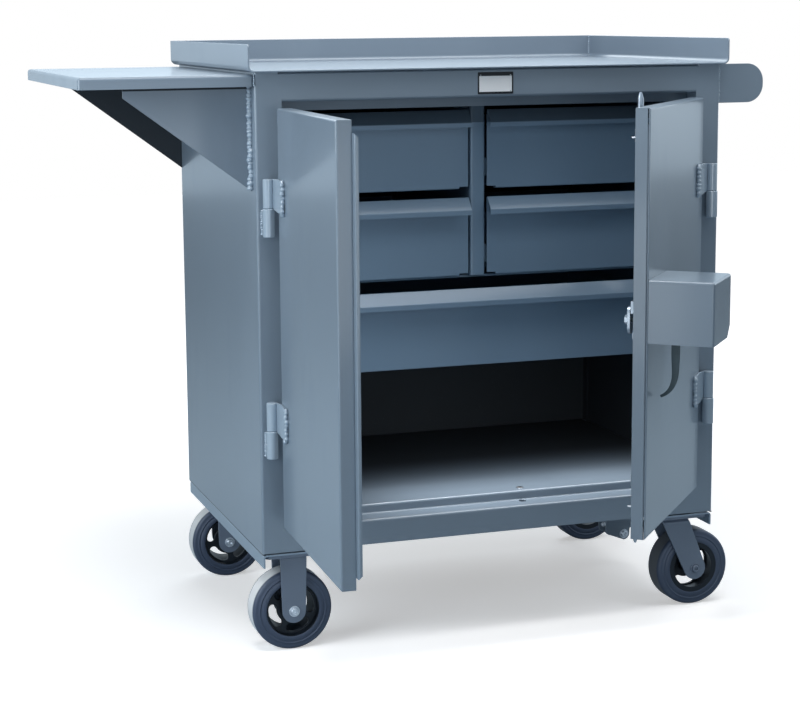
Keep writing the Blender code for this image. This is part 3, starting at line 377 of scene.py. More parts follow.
def rounded(shape, parts, reach, kind="EDGES", steps=fine_bend):
    """Rounds edges off, or flat corners where the kind is VERTICES."""
    bmesh.ops.bevel(shape, geom=parts, offset=reach, segments=steps, profile=0.5, affect=kind,
                    material=-1)


def folded_sheet(path, bottom, top, bend):
    """An open upright sheet with a soft bend at each inner point of its path."""
    shape = bmesh.new()
    row = [shape.verts.new((x, y, bottom)) for x, y in path]
    edges = [shape.edges.new(pair) for pair in zip(row, row[1:])]
    drawn_out(shape, edges, (0, 0, top - bottom))
    rounded(shape, [edge for edge in shape.edges if len(edge.link_faces) == 2], bend)
    return shape


def add_piece(name, shape, finish, body, *nodes, slot="body_paint", sheet=0.0, ease=sheet_ease,
              swing=still):
    """Makes a shape a piece: gives it its sheet thickness, eases its edges and lets it ride on a
    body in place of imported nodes. swing takes it from its shut place to its place at rest."""
    shape.transform(swing)
    mesh = bpy.data.meshes.new(name)
    shape.to_mesh(mesh)
    shape.free()
    mesh.materials.append(finish)
    mesh.shade_smooth()
    piece = put_in_scene(name, mesh)
    if sheet:
        wall = piece.modifiers.new("sheet", "SOLIDIFY")
        wall.thickness = sheet
        wall.offset = 0
        wall.use_even_offset = True
    if ease:
        edge = piece.modifiers.new("ease", "BEVEL")
        edge.width = ease
        edge.segments = 2
        edge.limit_method = "ANGLE"
        edge.angle_limit = math.radians(42)
        edge.miter_outer = "MITER_ARC"
        normals = piece.modifiers.new("normals", "WEIGHTED_NORMAL")
        normals.keep_sharp = True
    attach(piece, body)
    if nodes:
        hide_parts(*nodes)


for label, hand in hands:
    low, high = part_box(f"{label}_side_panel")
    outer = (low.x if hand < 0 else high.x) - hand * wall_sheet / 2
    turn = (high.x if hand < 0 else low.x) + hand * wall_sheet / 2
    path = [(outer, high.y), (outer, low.y + wall_sheet / 2), (turn, low.y + wall_sheet / 2),
            (turn, low.y + header_high.y - header_low.y - wall_sheet)]
    shape = folded_sheet(path, low.z + wall_gap, high.z, wall_bend)
    add_piece(f"{label}_wall", shape, body_coat, "cart", f"{label}_side_panel", sheet=wall_sheet)

# Back, header, cabinet floor and base. Folded sheets are welded in between the side walls, which stand
# on two angle irons. In the gap along each side where wall and angle meet lies a thin near-black strip,
# a dark sheet put in as painted shade.
angle_tone = (0.20, 0.27, 0.345, 1)
angle_light = (0.25, 0.32, 0.40, 1)
# Colours of that near-black strip, which is painted shade.
gap_shade_tone = (0.020, 0.028, 0.036, 1)
gap_shade_light = (0.028, 0.036, 0.046, 1)
gap_shade_roughness = 0.6
seam_sink = 0.0004
seam_slack = 0.0001


def packed_form(node):
    """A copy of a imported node's shape, its triangles joined again into flat faces."""
    shape = bmesh.new()
    shape.from_mesh(frame["nodes"][node].data)
    bmesh.ops.remove_doubles(shape, verts=shape.verts, dist=1e-6)
    bmesh.ops.dissolve_limit(shape, angle_limit=math.radians(0.8), verts=shape.verts, edges=shape.edges,
                             use_dissolve_boundaries=False, delimit=set())
    return shape


def dress(node, finish, slot="body_paint", ease=sheet_ease):
    """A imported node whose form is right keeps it, with eased edges and a real finish."""
    body = frame["nodes"][node]["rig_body"]
    add_piece(node + "_dressed", packed_form(node), finish, body, node, slot=slot, ease=ease)


def block(low, high):
    """A closed box between two corners."""
    shape = bmesh.new()
    size = Vector(high) - Vector(low)
    bmesh.ops.create_cube(shape, size=1, matrix=Matrix.Translation((Vector(low) + Vector(high)) / 2)
                          @ Matrix.Diagonal((*size, 1)))
    return shape


# The cabinet floor gets the same painted shade, which grows further back.
floor_coat = powder_coat("floor_coat", shade_room=shaded_inside, fade=floor_shade_fade)
gap_shade_black = powder_coat("gap_shade_black", gap_shade_tone, gap_shade_light, painted_shade_dark, gap_shade_roughness)
angle_coat = powder_coat("angle_coat", angle_tone, angle_light)
for node, finish in (("back_panel", body_coat), ("header_rail", body_coat),
                     ("base_angle_left", angle_coat), ("base_angle_right", angle_coat),
                     ("shelf_floor", floor_coat)):
    dress(node, finish)

# The near-black strip in each wall's gap is painted shade.
for label, hand in hands:
    low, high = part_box(f"{label}_side_panel")
    outer = (low.x if hand < 0 else high.x) - hand * seam_sink
    inner = outer - hand * wall_sheet * 1.5
    shape = block((min(outer, inner), low.y + seam_sink, low.z + seam_slack),
                  (max(outer, inner), high.y - seam_sink, low.z + wall_gap - seam_slack))
    add_piece(f"{label}_base_gap_shade", shape, gap_shade_black, "cart", ease=0.0)

# Flush welds. Where the header and the sill meet the posts, the joints are welded shut and ground
# flush before the coat goes on. The sill's lower edge is closed in the same way.
weld_depth = 0.0012
weld_proud = 0.00004
flush_ease = 0.0002
fill_reach = 0.0032
sill_step = 0.0228
sill_lap = 0.012

for label, hand in hands:
    end_x = header_low.x if hand < 0 else header_high.x
    reach = (end_x + hand * (wall_bend + fill_reach), end_x - hand * fill_reach)
    for rail, bottom, top in (("header", header_low.z + wall_bend, header_high.z - wall_bend),
                              ("sill", sill_low.z + weld_proud, sill_high.z - sill_step)):
        shape = block((min(reach), front_y - weld_proud, bottom),
                      (max(reach), front_y + weld_depth, top))
        add_piece(f"{rail}_flush_weld_{label}", shape, body_coat, "cart", ease=flush_ease)
side_reach = Vector((wall_bend + fill_reach, 0, 0))
shape = block(Vector((header_low.x, front_y - weld_proud * 2, sill_low.z + weld_proud)) - side_reach,
              Vector((header_high.x, front_y + weld_depth, sill_low.z + sill_lap)) + side_reach)
add_piece("sill_edge", shape, body_coat, "cart", ease=flush_ease)

# Name plate. A bare white enamelled plate with a black rim, held on the header by four rivets.
# The rim is wider above and below than at the sides.
plate_low = (-0.0363, 1.0235)
plate_high = (0.0332, 1.0636)
plate_sheet = 0.0008
enamel_ease = 0.0001
plate_rim = 0.0028
band_high = 0.0072
band_low = 0.0042
field_proud = plate_sheet * 0.15
plate_corner = 0.0016
rivet_radius = 0.0011
rivet_rise = 0.0006
dome_steps = 4
fine_round = 20
zinc_tone = (0.52, 0.53, 0.55, 1)
zinc_dull = (0.38, 0.39, 0.41, 1)
enamel_white = (0.97, 0.97, 0.98, 1)
enamel_black = (0.012, 0.013, 0.016, 1)


def enamel(name, tone, roughness):
    """Smooth enamel with a faint cloud in its tone and gloss."""
    finish = Finish(name)
    cloud = finish.noise(60.0, 3.0)
    dull = (*(0.97 * part for part in tone[:3]), 1)
    finish.set("Base Color", finish.mixed(cloud, tone, dull))
    finish.set("Roughness", cloud * 0.1 + roughness)
    finish.set("Specular IOR Level", 0.25)
    return finish.material


def plated(name, tone, dull, roughness, metallic=1.0):
    """Plated steel with faint clouding and drawn marks."""
    finish = Finish(name)
    cloud = finish.noise(34.0, 4.0)
    marks = finish.noise(260.0, 2.0, (1, 1, 0.12))
    finish.set("Base Color", finish.mixed(cloud, tone, dull))
    finish.set("Metallic", metallic)
    finish.set("Roughness", cloud * 0.16 + marks * 0.08 + roughness)
    finish.bump(marks, 0.00003, 0.3)
    return finish.material


zinc = plated("zinc", zinc_tone, zinc_dull, 0.24)
white_enamel = enamel("white_enamel", enamel_white, 0.3)
black_enamel = enamel("black_enamel", enamel_black, 0.3)


def flat_face(corners):
    """One flat face through its corners, in order."""
    shape = bmesh.new()
    shape.faces.new([shape.verts.new(corner) for corner in corners])
    return shape


def facing_plate(low, high, y):
    """A flat plate at one depth that faces the front."""
    return flat_face([(low.x, y, low.z), (high.x, y, low.z), (high.x, y, high.z), (low.x, y, high.z)])


low = at(plate_low[0], -plate_sheet, plate_low[1])
high = at(plate_high[0], -weld_proud, plate_high[1])
shape = facing_plate(low, high, (low.y + high.y) / 2)
rounded(shape, shape.verts[:], plate_corner, "VERTICES")
add_piece("name_plate_rim", shape, black_enamel, "cart", sheet=high.y - low.y, ease=enamel_ease)
shape = facing_plate(low + Vector((plate_rim, 0, band_low)), high - Vector((plate_rim, 0, band_high)),
                     (low.y + high.y) / 2)
rounded(shape, shape.verts[:], plate_corner / 4, "VERTICES")
add_piece("name_plate_field", shape, white_enamel, "cart", sheet=plate_sheet + field_proud * 2,
          ease=enamel_ease)

axis_turns = {"Y": Matrix.Rotation(-math.pi / 2, 4, "X"), "Z": still}


def turned(profile, centre, axis, steps):
    """A solid turned from (radius, height) points about an axis, with height measured along it."""
    shape = bmesh.new()
    row = [shape.verts.new((radius, 0, height)) for radius, height in profile]
    edges = [shape.edges.new(pair) for pair in zip(row, row[1:])]
    bmesh.ops.spin(shape, geom=row + edges, cent=(0, 0, 0), axis=(0, 0, 1), angle=math.tau,
                   steps=steps, use_merge=True)
    bmesh.ops.remove_doubles(shape, verts=shape.verts, dist=1e-6)
    face_out(shape)
    shape.transform(Matrix.Translation(centre) @ axis_turns[axis])
    return shape


def arc(radius, start, stop, steps):
    """Points along an arc from one angle to another, as (right, up) pairs."""
    angles = [start + (stop - start) * step / steps for step in range(steps + 1)]
    return [(radius * math.cos(angle), radius * math.sin(angle)) for angle in angles]


def dome(radius, height):
    """Profile of a round head that stands up from height 0."""
    quarter = arc(1, 0, math.pi / 2, dome_steps)
    return [(0, 0)] + [(radius * right, height * up) for right, up in quarter]


for column, x in (("left", low.x + plate_rim * 2), ("right", high.x - plate_rim * 2)):
    for row, z in (("lower", low.z + plate_rim * 2), ("upper", high.z - plate_rim * 2)):
        shape = turned([(radius, -rise) for radius, rise in dome(rivet_radius, rivet_rise)],
                       Vector((x, low.y - field_proud, z)), "Y", fine_round)
        add_piece(f"name_plate_rivet_{row}_{column}", shape, zinc, "cart", slot="zinc", ease=0.0)

# Floor screw and rod cup. A round-headed screw on a washer holds the cabinet floor down. A closed
# steel cup, welded under the hole in the sill, takes the tip of the lower locking rod.
screw_place = (0.0765, 0.067)
screw_radius = 0.0042
screw_rise = 0.0016
washer_inner = screw_radius * 1.02
washer_outer = screw_radius * 1.7
washer_sheet = 0.0005
hole_place = (0.0689, 0.0343)
cup_radius = 0.0098
cup_wall = 0.0012
cup_depth = 0.024


def corners_of(points):
    """Lowest and highest corner round some points."""
    return (Vector([min(p[i] for p in points) for i in range(3)]),
            Vector([max(p[i] for p in points) for i in range(3)]))


spot = at(*screw_place, sill_high.z)
add_piece("floor_screw", turned(dome(screw_radius, screw_rise), spot, "Z", fine_round), black_enamel,
          "cart", slot="zinc", ease=0.0)
profile = [(washer_inner, 0), (washer_outer, 0), (washer_outer, washer_sheet),
           (washer_inner, washer_sheet), (washer_inner, 0)]
add_piece("floor_screw_washer", turned(profile, spot, "Z", fine_round), zinc, "cart", slot="zinc",
          ease=0.0)
near_hole = at(*hole_place, 0)
low, high = corners_of([v.co for v in frame["nodes"]["shelf_floor"].data.vertices
                        if (v.co.xy - near_hole.xy).length < cup_radius])
spot = Vector((*((low + high) / 2).xy, low.z - weld_proud))
profile = [(cup_radius, 0), (cup_radius, -cup_depth), (0, -cup_depth), (0, cup_wall - cup_depth),
           (cup_radius - cup_wall, cup_wall - cup_depth), (cup_radius - cup_wall, 0), (cup_radius, 0)]
add_piece("rod_cup", turned(profile, spot, "Z", fine_round * 2), body_coat, "cart", ease=0.0)

# Worktop. A 3.4 mm plate with its left, right and back edges turned up round a soft bend, its
# back corners welded and its front ends rounded off so that they don't catch a hand.
top_tone = (0.182, 0.232, 0.292, 1)
top_light = (0.220, 0.276, 0.340, 1)
top_worn = (0.270, 0.334, 0.400, 1)
top_roughness = 0.34
top_plate = 0.0034
top_bend = 0.0095
front_round = 0.006
top_ease = 0.0009
# Weld beads are coloured lighter than the coat, with pale patches: a painted highlight for the glints
# on the beads.
weld_highlight_tone = (0.200, 0.268, 0.345, 1)
pale_highlight = (0.42, 0.50, 0.58, 1)
weld_roughness = 0.2
weld_pitch = 0.0036
weld_points = 5
drop_sizes = (0.86, 1.16)
drop_drift = 0.2
drop_neck = 0.66
drop_swell = 0.42
corner_bead = 0.0018


def lying_plate(left, right, front, back, z):
    """A flat plate at one height."""
    return flat_face([(left, front, z), (right, front, z), (right, back, z), (left, back, z)])


low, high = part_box("worktop")
inset = top_plate / 2
base_z = low.z + inset
shape = lying_plate(low.x + inset, high.x - inset, low.y, high.y - inset, base_z)
rims = [edge for edge in shape.edges if max(v.co.y for v in edge.verts) > low.y + inset]
drawn_out(shape, rims, (0, 0, high.z - base_z))
rounded(shape, rims, top_bend)
ends = [v for v in shape.verts if v.co.y < low.y + inset and v.co.z > high.z - inset]
rounded(shape, ends, front_round, "VERTICES")
face_out(shape)
top_coat = powder_coat("top_coat", top_tone, top_light, top_worn, top_roughness)
add_piece("worktop_plate", shape, top_coat, "cart", "worktop", sheet=top_plate, ease=top_ease)

# The beads' light tone and pale patches are painted highlight.
weld_coat = powder_coat("weld_coat", weld_highlight_tone, pale_highlight, pale_highlight, weld_roughness)


def weld(name, path, radius, pitch=weld_pitch, body="cart", swing=still):
    """A painted weld bead along a path of points: overlapping drops one pitch apart, uneven as
    hand welding leaves them."""
    rng = random.Random(name)
    points = [Vector(point) for point in path]
    bead = []
    for a, b in zip(points, points[1:]):
        drops = max(1, round((b - a).length / pitch))
        for drop in range(drops):
            size = rng.uniform(*drop_sizes)
            drift = Vector([rng.uniform(-1, 1) * radius * drop_drift for _ in range(3)])
            for step in range(weld_points):
                swell = drop_neck + drop_swell * math.sin(math.pi * (step + 0.5) / weld_points)
                place = a.lerp(b, (drop + step / weld_points) / drops) + drift
                bead.append((swing @ place, radius * size * swell))
    curve = bpy.data.curves.new(name, "CURVE")
    curve.dimensions = "3D"
    curve.bevel_depth = 1.0
    curve.bevel_resolution = 2
    curve.use_fill_caps = True
    spline = curve.splines.new("POLY")
    spline.points.add(len(bead) - 1)
    for point, (place, reach) in zip(spline.points, bead):
        point.co = (*place, 1)
        point.radius = reach
    curve.materials.append(weld_coat)
    piece = put_in_scene(name, curve)
    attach(piece, body)


def upright_weld(name, x, y, start, stop, radius, pitch=weld_pitch):
    """A weld bead straight up or down, from one height to another."""
    weld(name, [(x, y, start), (x, y, stop)], radius, pitch)


for label, x in (("left", low.x + top_plate), ("right", high.x - top_plate)):
    upright_weld(f"worktop_corner_weld_{label}", x, high.y - top_plate, low.z + top_bend,
                 high.z - inset, corner_bead)

# Side shelf. A shallow 2.6 mm pan with all its edges turned down, welded to the left wall and held from
# below by two welded corner plates. Their coat is painted darker than the body coat as shade. It is
# also painted near black as shade on their front faces under the pan: on the front plate only near the
# pan, on the rear plate all over.
shelf_sheet = 0.0026
shelf_bend = 0.0046
shelf_ease = 0.0005
shelf_bead = 0.0015
# The corner plates' tone, darker than the body coat, is painted shade.
gusset_shaded_tone = (0.118, 0.156, 0.200, 1)
thick_ease = 0.0006
gusset_bead = 0.0056
gusset_pitch = 0.0072
bead_sink = 0.4
bead_stand = 1.4
bead_end = 0.002
rim_bead = 0.0016
rim_bead_drop = 0.001
rim_bead_start = 0.004
pan_shade = 0.0045
far_off = 9
no_fade = (-1, 0)

low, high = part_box("side_shelf")
shelf_low, shelf_high = low, high
inset = shelf_sheet / 2
top_z = high.z - inset
shape = lying_plate(low.x + inset, high.x - inset, low.y + inset, high.y - inset, top_z)
rims = list(shape.edges)
drawn_out(shape, rims, (0, 0, low.z - top_z))
uprights = [edge for edge in shape.edges if abs(edge.verts[0].co.z - edge.verts[1].co.z) > shelf_sheet]
rounded(shape, rims + uprights, shelf_bend)
face_out(shape)
add_piece("side_shelf_pan", shape, body_coat, "cart", "side_shelf", sheet=shelf_sheet, ease=shelf_ease)

for label, bead_share in (("front", 1), ("rear", 0.7)):
    low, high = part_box(f"shelf_gusset_{label}")
    middle_y = (low.y + high.y) / 2
    if label == "front":
        face_y, shelf_y, shade_z = low.y, shelf_low.y, shelf_low.z - pan_shade
    else:
        face_y, shelf_y, shade_z = high.y, shelf_high.y, low.z - shelf_sheet
    # Painted shade: the plate's front face turns near black above the height found here.
    shade_pocket = ((-far_off, -far_off, shade_z), (far_off, middle_y, far_off))
    finish = powder_coat(f"gusset_shaded_coat_{label}", gusset_shaded_tone, coat_blue, coat_worn, shade_room=shade_pocket,
                         fade=no_fade)
    dress(f"shelf_gusset_{label}", finish, ease=thick_ease)
    upright_weld(f"corner_plate_weld_{label}", high.x - gusset_bead * bead_sink,
                 face_y + (face_y - middle_y) * bead_stand, high.z - bead_end, low.z + bead_end,
                 gusset_bead * bead_share, gusset_pitch)
    weld(f"corner_plate_shelf_weld_{label}", [(low.x + rim_bead_start, face_y, high.z - rim_bead_drop),
                                              (high.x - shelf_sheet, face_y, high.z - rim_bead_drop)],
         rim_bead)
    upright_weld(f"shelf_wall_weld_{label}", high.x, shelf_y, shelf_high.z, shelf_low.z, shelf_bead)

# Push handle. Two 4.8 mm end plates, round at their outer end, are welded to the right wall and
# carry a steel tube, welded in between them.
handle_round = 0.034
handle_bead = 0.0022
handle_bead_out = 0.0004
tube_wall = 0.0021
tube_steps = 48
tube_bead = 0.0019
tube_bead_in = 0.0006
tube_bead_steps = 16

for label in ("front", "rear"):
    low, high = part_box(f"handle_plate_{label}")
    shape = facing_plate(low, high, (low.y + high.y) / 2)
    outer = [v for v in shape.verts if v.co.x > low.x + tube_wall]
    rounded(shape, outer, handle_round, "VERTICES", fine_bend * 2)
    add_piece(f"handle_end_{label}", shape, body_coat, "cart", f"handle_plate_{label}",
              sheet=high.y - low.y, ease=thick_ease)
    for face, y in (("near", low.y), ("far", high.y)):
        upright_weld(f"handle_weld_{label}_{face}", low.x + handle_bead_out, y, low.z + bead_end,
                     high.z - bead_end, handle_bead)

low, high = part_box("handle_tube")
tube_radius = (high.x - low.x) / 2
centre = Vector(((low.x + high.x) / 2, low.y, (low.z + high.z) / 2))
shape = bmesh.new()
bmesh.ops.create_circle(shape, segments=tube_steps, radius=tube_radius - tube_wall / 2,
                        matrix=Matrix.Translation(centre) @ axis_turns["Y"])
drawn_out(shape, shape.edges, (0, high.y - low.y, 0))
face_out(shape)
add_piece("push_tube", shape, body_coat, "cart", "handle_tube", sheet=tube_wall, ease=0.0)
for label, y in (("front", low.y + tube_bead_in), ("rear", high.y - tube_bead_in)):
    weld(f"tube_weld_{label}", [(centre.x + right, y, centre.z + up)
                                for right, up in arc(tube_radius, 0, math.tau, tube_bead_steps)],
         tube_bead)

# Doors. Each is a 26 mm deep pan folded from 1.5 mm sheet, lipped inside, with a channel welded in
# as a stiffener, and the left one has an angle along its free edge. They are drawn shut and then
# swung to where they stand at rest.
door_sheet = 0.0015
door_bend = 0.0034
door_lip = 0.0125
seam_place = 0.0022
seam_width = 0.0026
channel_inset = 0.063
channel_half = 0.023
channel_end_gap = 0.03

joints = {joint["name"]: joint for joint in frame["joints"]}
swings = {}
for label in ("left", "right"):
    hinge = joints[f"{label}_door_hinge"]
    open_angle = -math.radians(hinge["range_deg"][0]) * hinge["axis"][2]
    pivot = Matrix.Translation(Vector(hinge["pos_m"]))
    swings[label] = pivot @ Matrix.Rotation(open_angle, 4, "Z") @ pivot.inverted()


def shut_box(node, label):
    """Lowest and highest corner of a piece on a door while that door is shut."""
    shut = swings[label].inverted()
    return corners_of([shut @ v.co for v in frame["nodes"][node].data.vertices])


def door_pan(low, high):
    """The door's front, its four edges folded back and their inner lips, as one open sheet."""
    inset = door_sheet / 2
    low = low + Vector((inset, inset, inset))
    high = high - Vector((inset, inset, inset))
    shape = facing_plate(low, high, low.y)
    front_folds = list(shape.edges)
    back = drawn_out(shape, front_folds, (0, high.y - low.y, 0))
    rear_folds = [edge for edge in shape.edges if all(v in back for v in edge.verts)]
    centre = (low + high) / 2
    for vert in drawn_out(shape, rear_folds, (0, 0, 0)):
        vert.co.x += math.copysign(door_lip - inset, centre.x - vert.co.x)
        vert.co.z += math.copysign(door_lip - inset, centre.z - vert.co.z)
    rounded(shape, front_folds, door_bend)
    face_out(shape)
    return shape


def open_seam(shape, start, stop, edge_x):
    """Cuts the narrow upright slit between a door's face sheet and its edge channel."""
    for y in (start, stop):
        bmesh.ops.bisect_plane(shape, geom=shape.verts[:] + shape.edges[:] + shape.faces[:],
                               plane_co=(0, y, 0), plane_no=(0, 1, 0), dist=1e-7)
    middles = {face: face.calc_center_median() for face in shape.faces}
    slit = [face for face, spot in middles.items() if start < spot.y < stop and spot.x < edge_x]
    bmesh.ops.delete(shape, geom=slit, context="FACES")


for label, hand in hands:
    low, high = shut_box(f"{label}_door_panel", label)
    shape = door_pan(low, high)
    if label == "right":
        open_seam(shape, low.y + seam_place, low.y + seam_place + seam_width, low.x + door_sheet)
    add_piece(f"{label}_door_skin", shape, body_coat, f"{label}_door", f"{label}_door_panel",
              sheet=door_sheet, swing=swings[label])
    free_x = high.x if hand < 0 else low.x
    centre_x = free_x + hand * channel_inset
    front, back = low.y + door_sheet, high.y - door_sheet / 2
    path = [(centre_x - channel_half, front), (centre_x - channel_half, back),
            (centre_x + channel_half, back), (centre_x + channel_half, front)]
    shape = folded_sheet(path, low.z + channel_end_gap, high.z - channel_end_gap, door_sheet * 1.5)
    add_piece(f"{label}_door_channel", shape, body_coat, f"{label}_door", sheet=door_sheet,
              swing=swings[label])

dress("astragal", body_coat)

# Hinges. Lift-off barrels of turned steel: the lower half is welded to the post and holds the pin,
# the upper half carries a thick flared leaf that is welded to the door's face.
barrel_height = 0.0508
barrel_chamfer = 0.0011
barrel_slim = 0.0012
barrel_steps = 40
post_bead = 0.0028
post_bead_out = 0.86
post_bead_sink = 0.0008
post_bead_end = 0.003
leaf_sheet = 0.004
leaf_corner = 0.002
leaf_flare = 0.0042
leaf_ridge = 0.42
leaf_toe = 0.08
leaf_bead = 0.0042
leaf_bead_pitch = 0.0078
leaf_bead_sink = 0.7
leaf_bead_up = 0.001
hinge_gap = 0.0003
# The hinge coat is lighter than the body coat, with pale patches: painted highlight.
hinge_highlight_tone = (0.235, 0.310, 0.385, 1)
hinge_roughness = 0.16

leaf_coat = powder_coat("hinge_coat", hinge_highlight_tone, pale_highlight, pale_highlight, hinge_roughness)


def barrel(radius, bottom, top, centre):
    """A turned hinge barrel, chamfered at both ends."""
    cut = barrel_chamfer
    return turned([(0, bottom), (radius - cut, bottom), (radius, bottom + cut), (radius, top - cut),
                   (radius - cut, top), (0, top)], centre, "Z", barrel_steps)


for label, hand in hands:
    for level in ("upper", "lower"):
        low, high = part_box(f"hinge_barrel_{level}_{label}")
        centre = Vector(((low.x + high.x) / 2, (low.y + high.y) / 2, 0))
        radius = (high.x - low.x) / 2
        top = low.z + barrel_height
        add_piece(f"hinge_lower_{level}_{label}", barrel(radius, low.z, top, centre), leaf_coat, "cart",
                  f"hinge_barrel_{level}_{label}")
        upright_weld(f"hinge_post_weld_{level}_{label}", centre.x + hand * radius * post_bead_out,
                     front_y - post_bead_sink, low.z + post_bead_end, top - post_bead_end, post_bead)
        shut_low, shut_high = shut_box(f"hinge_leaf_{level}_{label}", label)
        leaf_low, leaf_high = top + hinge_gap, shut_high.z
        shape = barrel(radius - barrel_slim, leaf_low, leaf_high, centre)
        add_piece(f"hinge_upper_{level}_{label}", shape, leaf_coat, f"{label}_door",
                  f"hinge_leaf_{level}_{label}", swing=swings[label])
        near = shut_high.x if hand < 0 else shut_low.x
        ridge = near + (centre.x - near) * leaf_ridge
        leaf_y = front_y - hinge_gap - leaf_sheet / 2
        shape = flat_face([(centre.x, leaf_y, leaf_low), (ridge, leaf_y, leaf_low - leaf_flare),
                           (near, leaf_y, leaf_low - leaf_flare),
                           (near, leaf_y, leaf_high - leaf_flare * 0.4),
                           (ridge, leaf_y, leaf_high + leaf_flare * 0.8),
                           (centre.x, leaf_y, leaf_high)])
        tips = [v for v in shape.verts if abs(v.co.x - near) < leaf_sheet]
        rounded(shape, tips, leaf_corner, "VERTICES", 4)
        add_piece(f"hinge_plate_{level}_{label}", shape, leaf_coat, f"{label}_door", sheet=leaf_sheet,
                  ease=thick_ease, swing=swings[label])
        toe = near + (centre.x - near) * leaf_toe
        bead_y = front_y - hinge_gap - leaf_bead * leaf_bead_sink
        weld(f"hinge_plate_weld_{level}_{label}",
             [(toe, bead_y, leaf_high), (near, bead_y, leaf_high - leaf_flare * 0.5),
              (near, bead_y, leaf_low - leaf_flare + leaf_bead_up),
              (toe, bead_y, leaf_low - leaf_flare)],
             leaf_bead, leaf_bead_pitch, f"{label}_door", swings[label])

# Latch. A steel handle bar hangs in a welded shroud and turns a cam behind the right door, which
# draws two plated locking rods through the straps that guide them.
lever_width = 0.015
lever_sheet = 0.0055
lever_ease = 0.0011
lever_tip_width = 0.0045
lever_taper = 0.35
lever_head = 0.7
lever_curl = 0.026
lever_curve = 0.052
lever_straight = 0.5
lever_steps = 24
lever_tone = (0.024, 0.040, 0.047, 1)
lever_rub = (0.06, 0.088, 0.10, 1)
shroud_ease = 0.0036
rod_ease = 0.0004
chrome_tone = (0.37, 0.40, 0.44, 1)
chrome_dull = (0.24, 0.27, 0.31, 1)

chrome = plated("bright_plating", chrome_tone, chrome_dull, 0.16)
lever_coat = plated("lever_coat", lever_tone, lever_rub, 0.34, 0.2)

dress("lock_box", body_coat, ease=shroud_ease)
for node in ("rod_guide_upper", "rod_guide_lower"):
    dress(node, zinc, "zinc")
for node in ("latch_rod_upper", "latch_rod_lower", "latch_cam"):
    dress(node, chrome, "chrome", ease=rod_ease)
low, high = shut_box("latch_lever", "right")
axis = swings["right"].inverted() @ Vector(joints["latch_turn"]["pos_m"])
bar_y = low.y + lever_width / 2
head = Vector((bar_y, axis.z + lever_width * lever_head))
start = Vector((bar_y, low.z + lever_curve))
bend = Vector((bar_y, low.z + lever_width))
tip = Vector((bar_y + lever_curl, low.z + lever_tip_width))
sides = ([], [])
for step in range(lever_steps + 1):
    share = step / lever_steps
    if share < lever_straight:
        spot = head.lerp(start, share / lever_straight)
        ahead = Vector((0, -1))
    else:
        t = (share - lever_straight) / (1 - lever_straight)
        spot = start.lerp(bend, t).lerp(bend.lerp(tip, t), t)
        ahead = (bend.lerp(tip, t) - start.lerp(bend, t)).normalized()
    narrow = max(0, share - lever_taper) / (1 - lever_taper)
    width = lever_width + (lever_tip_width - lever_width) * narrow
    across = Vector((-ahead.y, ahead.x)) * width / 2
    sides[0].append(spot + across)
    sides[1].append(spot - across)
shape = flat_face([(axis.x, *spot) for spot in sides[0] + sides[1][::-1]])
add_piece("lever_bar", shape, lever_coat, "door_handle", "latch_lever", slot="lever", sheet=lever_sheet,
          ease=lever_ease, swing=swings["right"])
shaft_radius = (high.x - low.x) / 2
collar_y = front_y - hinge_gap
profile = [(0, bar_y), (shaft_radius, bar_y), (shaft_radius, collar_y), (shaft_radius / 2, collar_y),
           (shaft_radius / 2, high.y), (0, high.y)]
shape = turned(profile, Vector((axis.x, 0, axis.z)), "Y", fine_round * 2)
add_piece("lever_shaft", shape, lever_coat, "door_handle", slot="lever", ease=thick_ease,
          swing=swings["right"])

# Stop pins. Two small plated steel pins stand on the inner side of the right door, near its free
# edge, fixed through the sheet.
pin_radius = 0.0016
pin_reach = 0.0075
pin_drop = 0.051
pin_rise = 0.057

low, high = shut_box("right_door_panel", "right")
root_y, tip_y = high.y - door_sheet, high.y + pin_reach
profile = [(0, root_y), (pin_radius, root_y), (pin_radius, tip_y), (0, tip_y)]
for label, z in (("upper", high.z - pin_drop), ("lower", low.z + pin_rise)):
    shape = turned(profile, Vector((low.x + pin_radius * 4, 0, z)), "Y", fine_round)
    add_piece(f"stop_pin_{label}", shape, zinc, "right_door", slot="zinc", ease=rod_ease,
              swing=swings["right"])

# Drawer bank. Two folded side walls, a divider and a plate under the upper rows carry the slide rails.
# Each drawer is a folded tray whose front leans out into a full-width pull. Along the crest of the
# upper fronts, under the header, shade is painted into the coat.
drawer_blue = (0.150, 0.234, 0.330, 1)
drawer_light = (0.186, 0.278, 0.378, 1)
drawer_roughness = 0.48
drawer_ease = 0.00025
shelf_lip = 0.0042
crest_z = 0.967
crest_reach = 0.03
crest_shade_depth = 0.62

# Painted shade: above crest_z and in front of crest_y the drawer coat darkens part way to near black.
crest_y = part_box("drawer_upper_left")[0].y + crest_reach
crest = ((-far_off, -far_off, crest_z), (far_off, crest_y, far_off))
drawer_coat = powder_coat("drawer_coat", drawer_blue, drawer_light, coat_worn, drawer_roughness,
                          shade_room=crest, fade=no_fade, depth=crest_shade_depth)

for node in ("bank_side_left", "bank_side_right", "drawer_divider"):
    dress(node, drawer_coat, "drawer_paint")
top_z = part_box("divider_shelf")[1].z
shape = packed_form("divider_shelf")
for vert in shape.verts:
    vert.co.z = max(vert.co.z, top_z - shelf_lip)
add_piece("divider_plate", shape, drawer_coat, "cart", "divider_shelf", slot="drawer_paint")
for node in ("drawer_upper_left", "drawer_upper_right", "drawer_lower_left", "drawer_lower_right",
             "drawer_wide"):
    dress(node, drawer_coat, "drawer_paint", ease=drawer_ease)

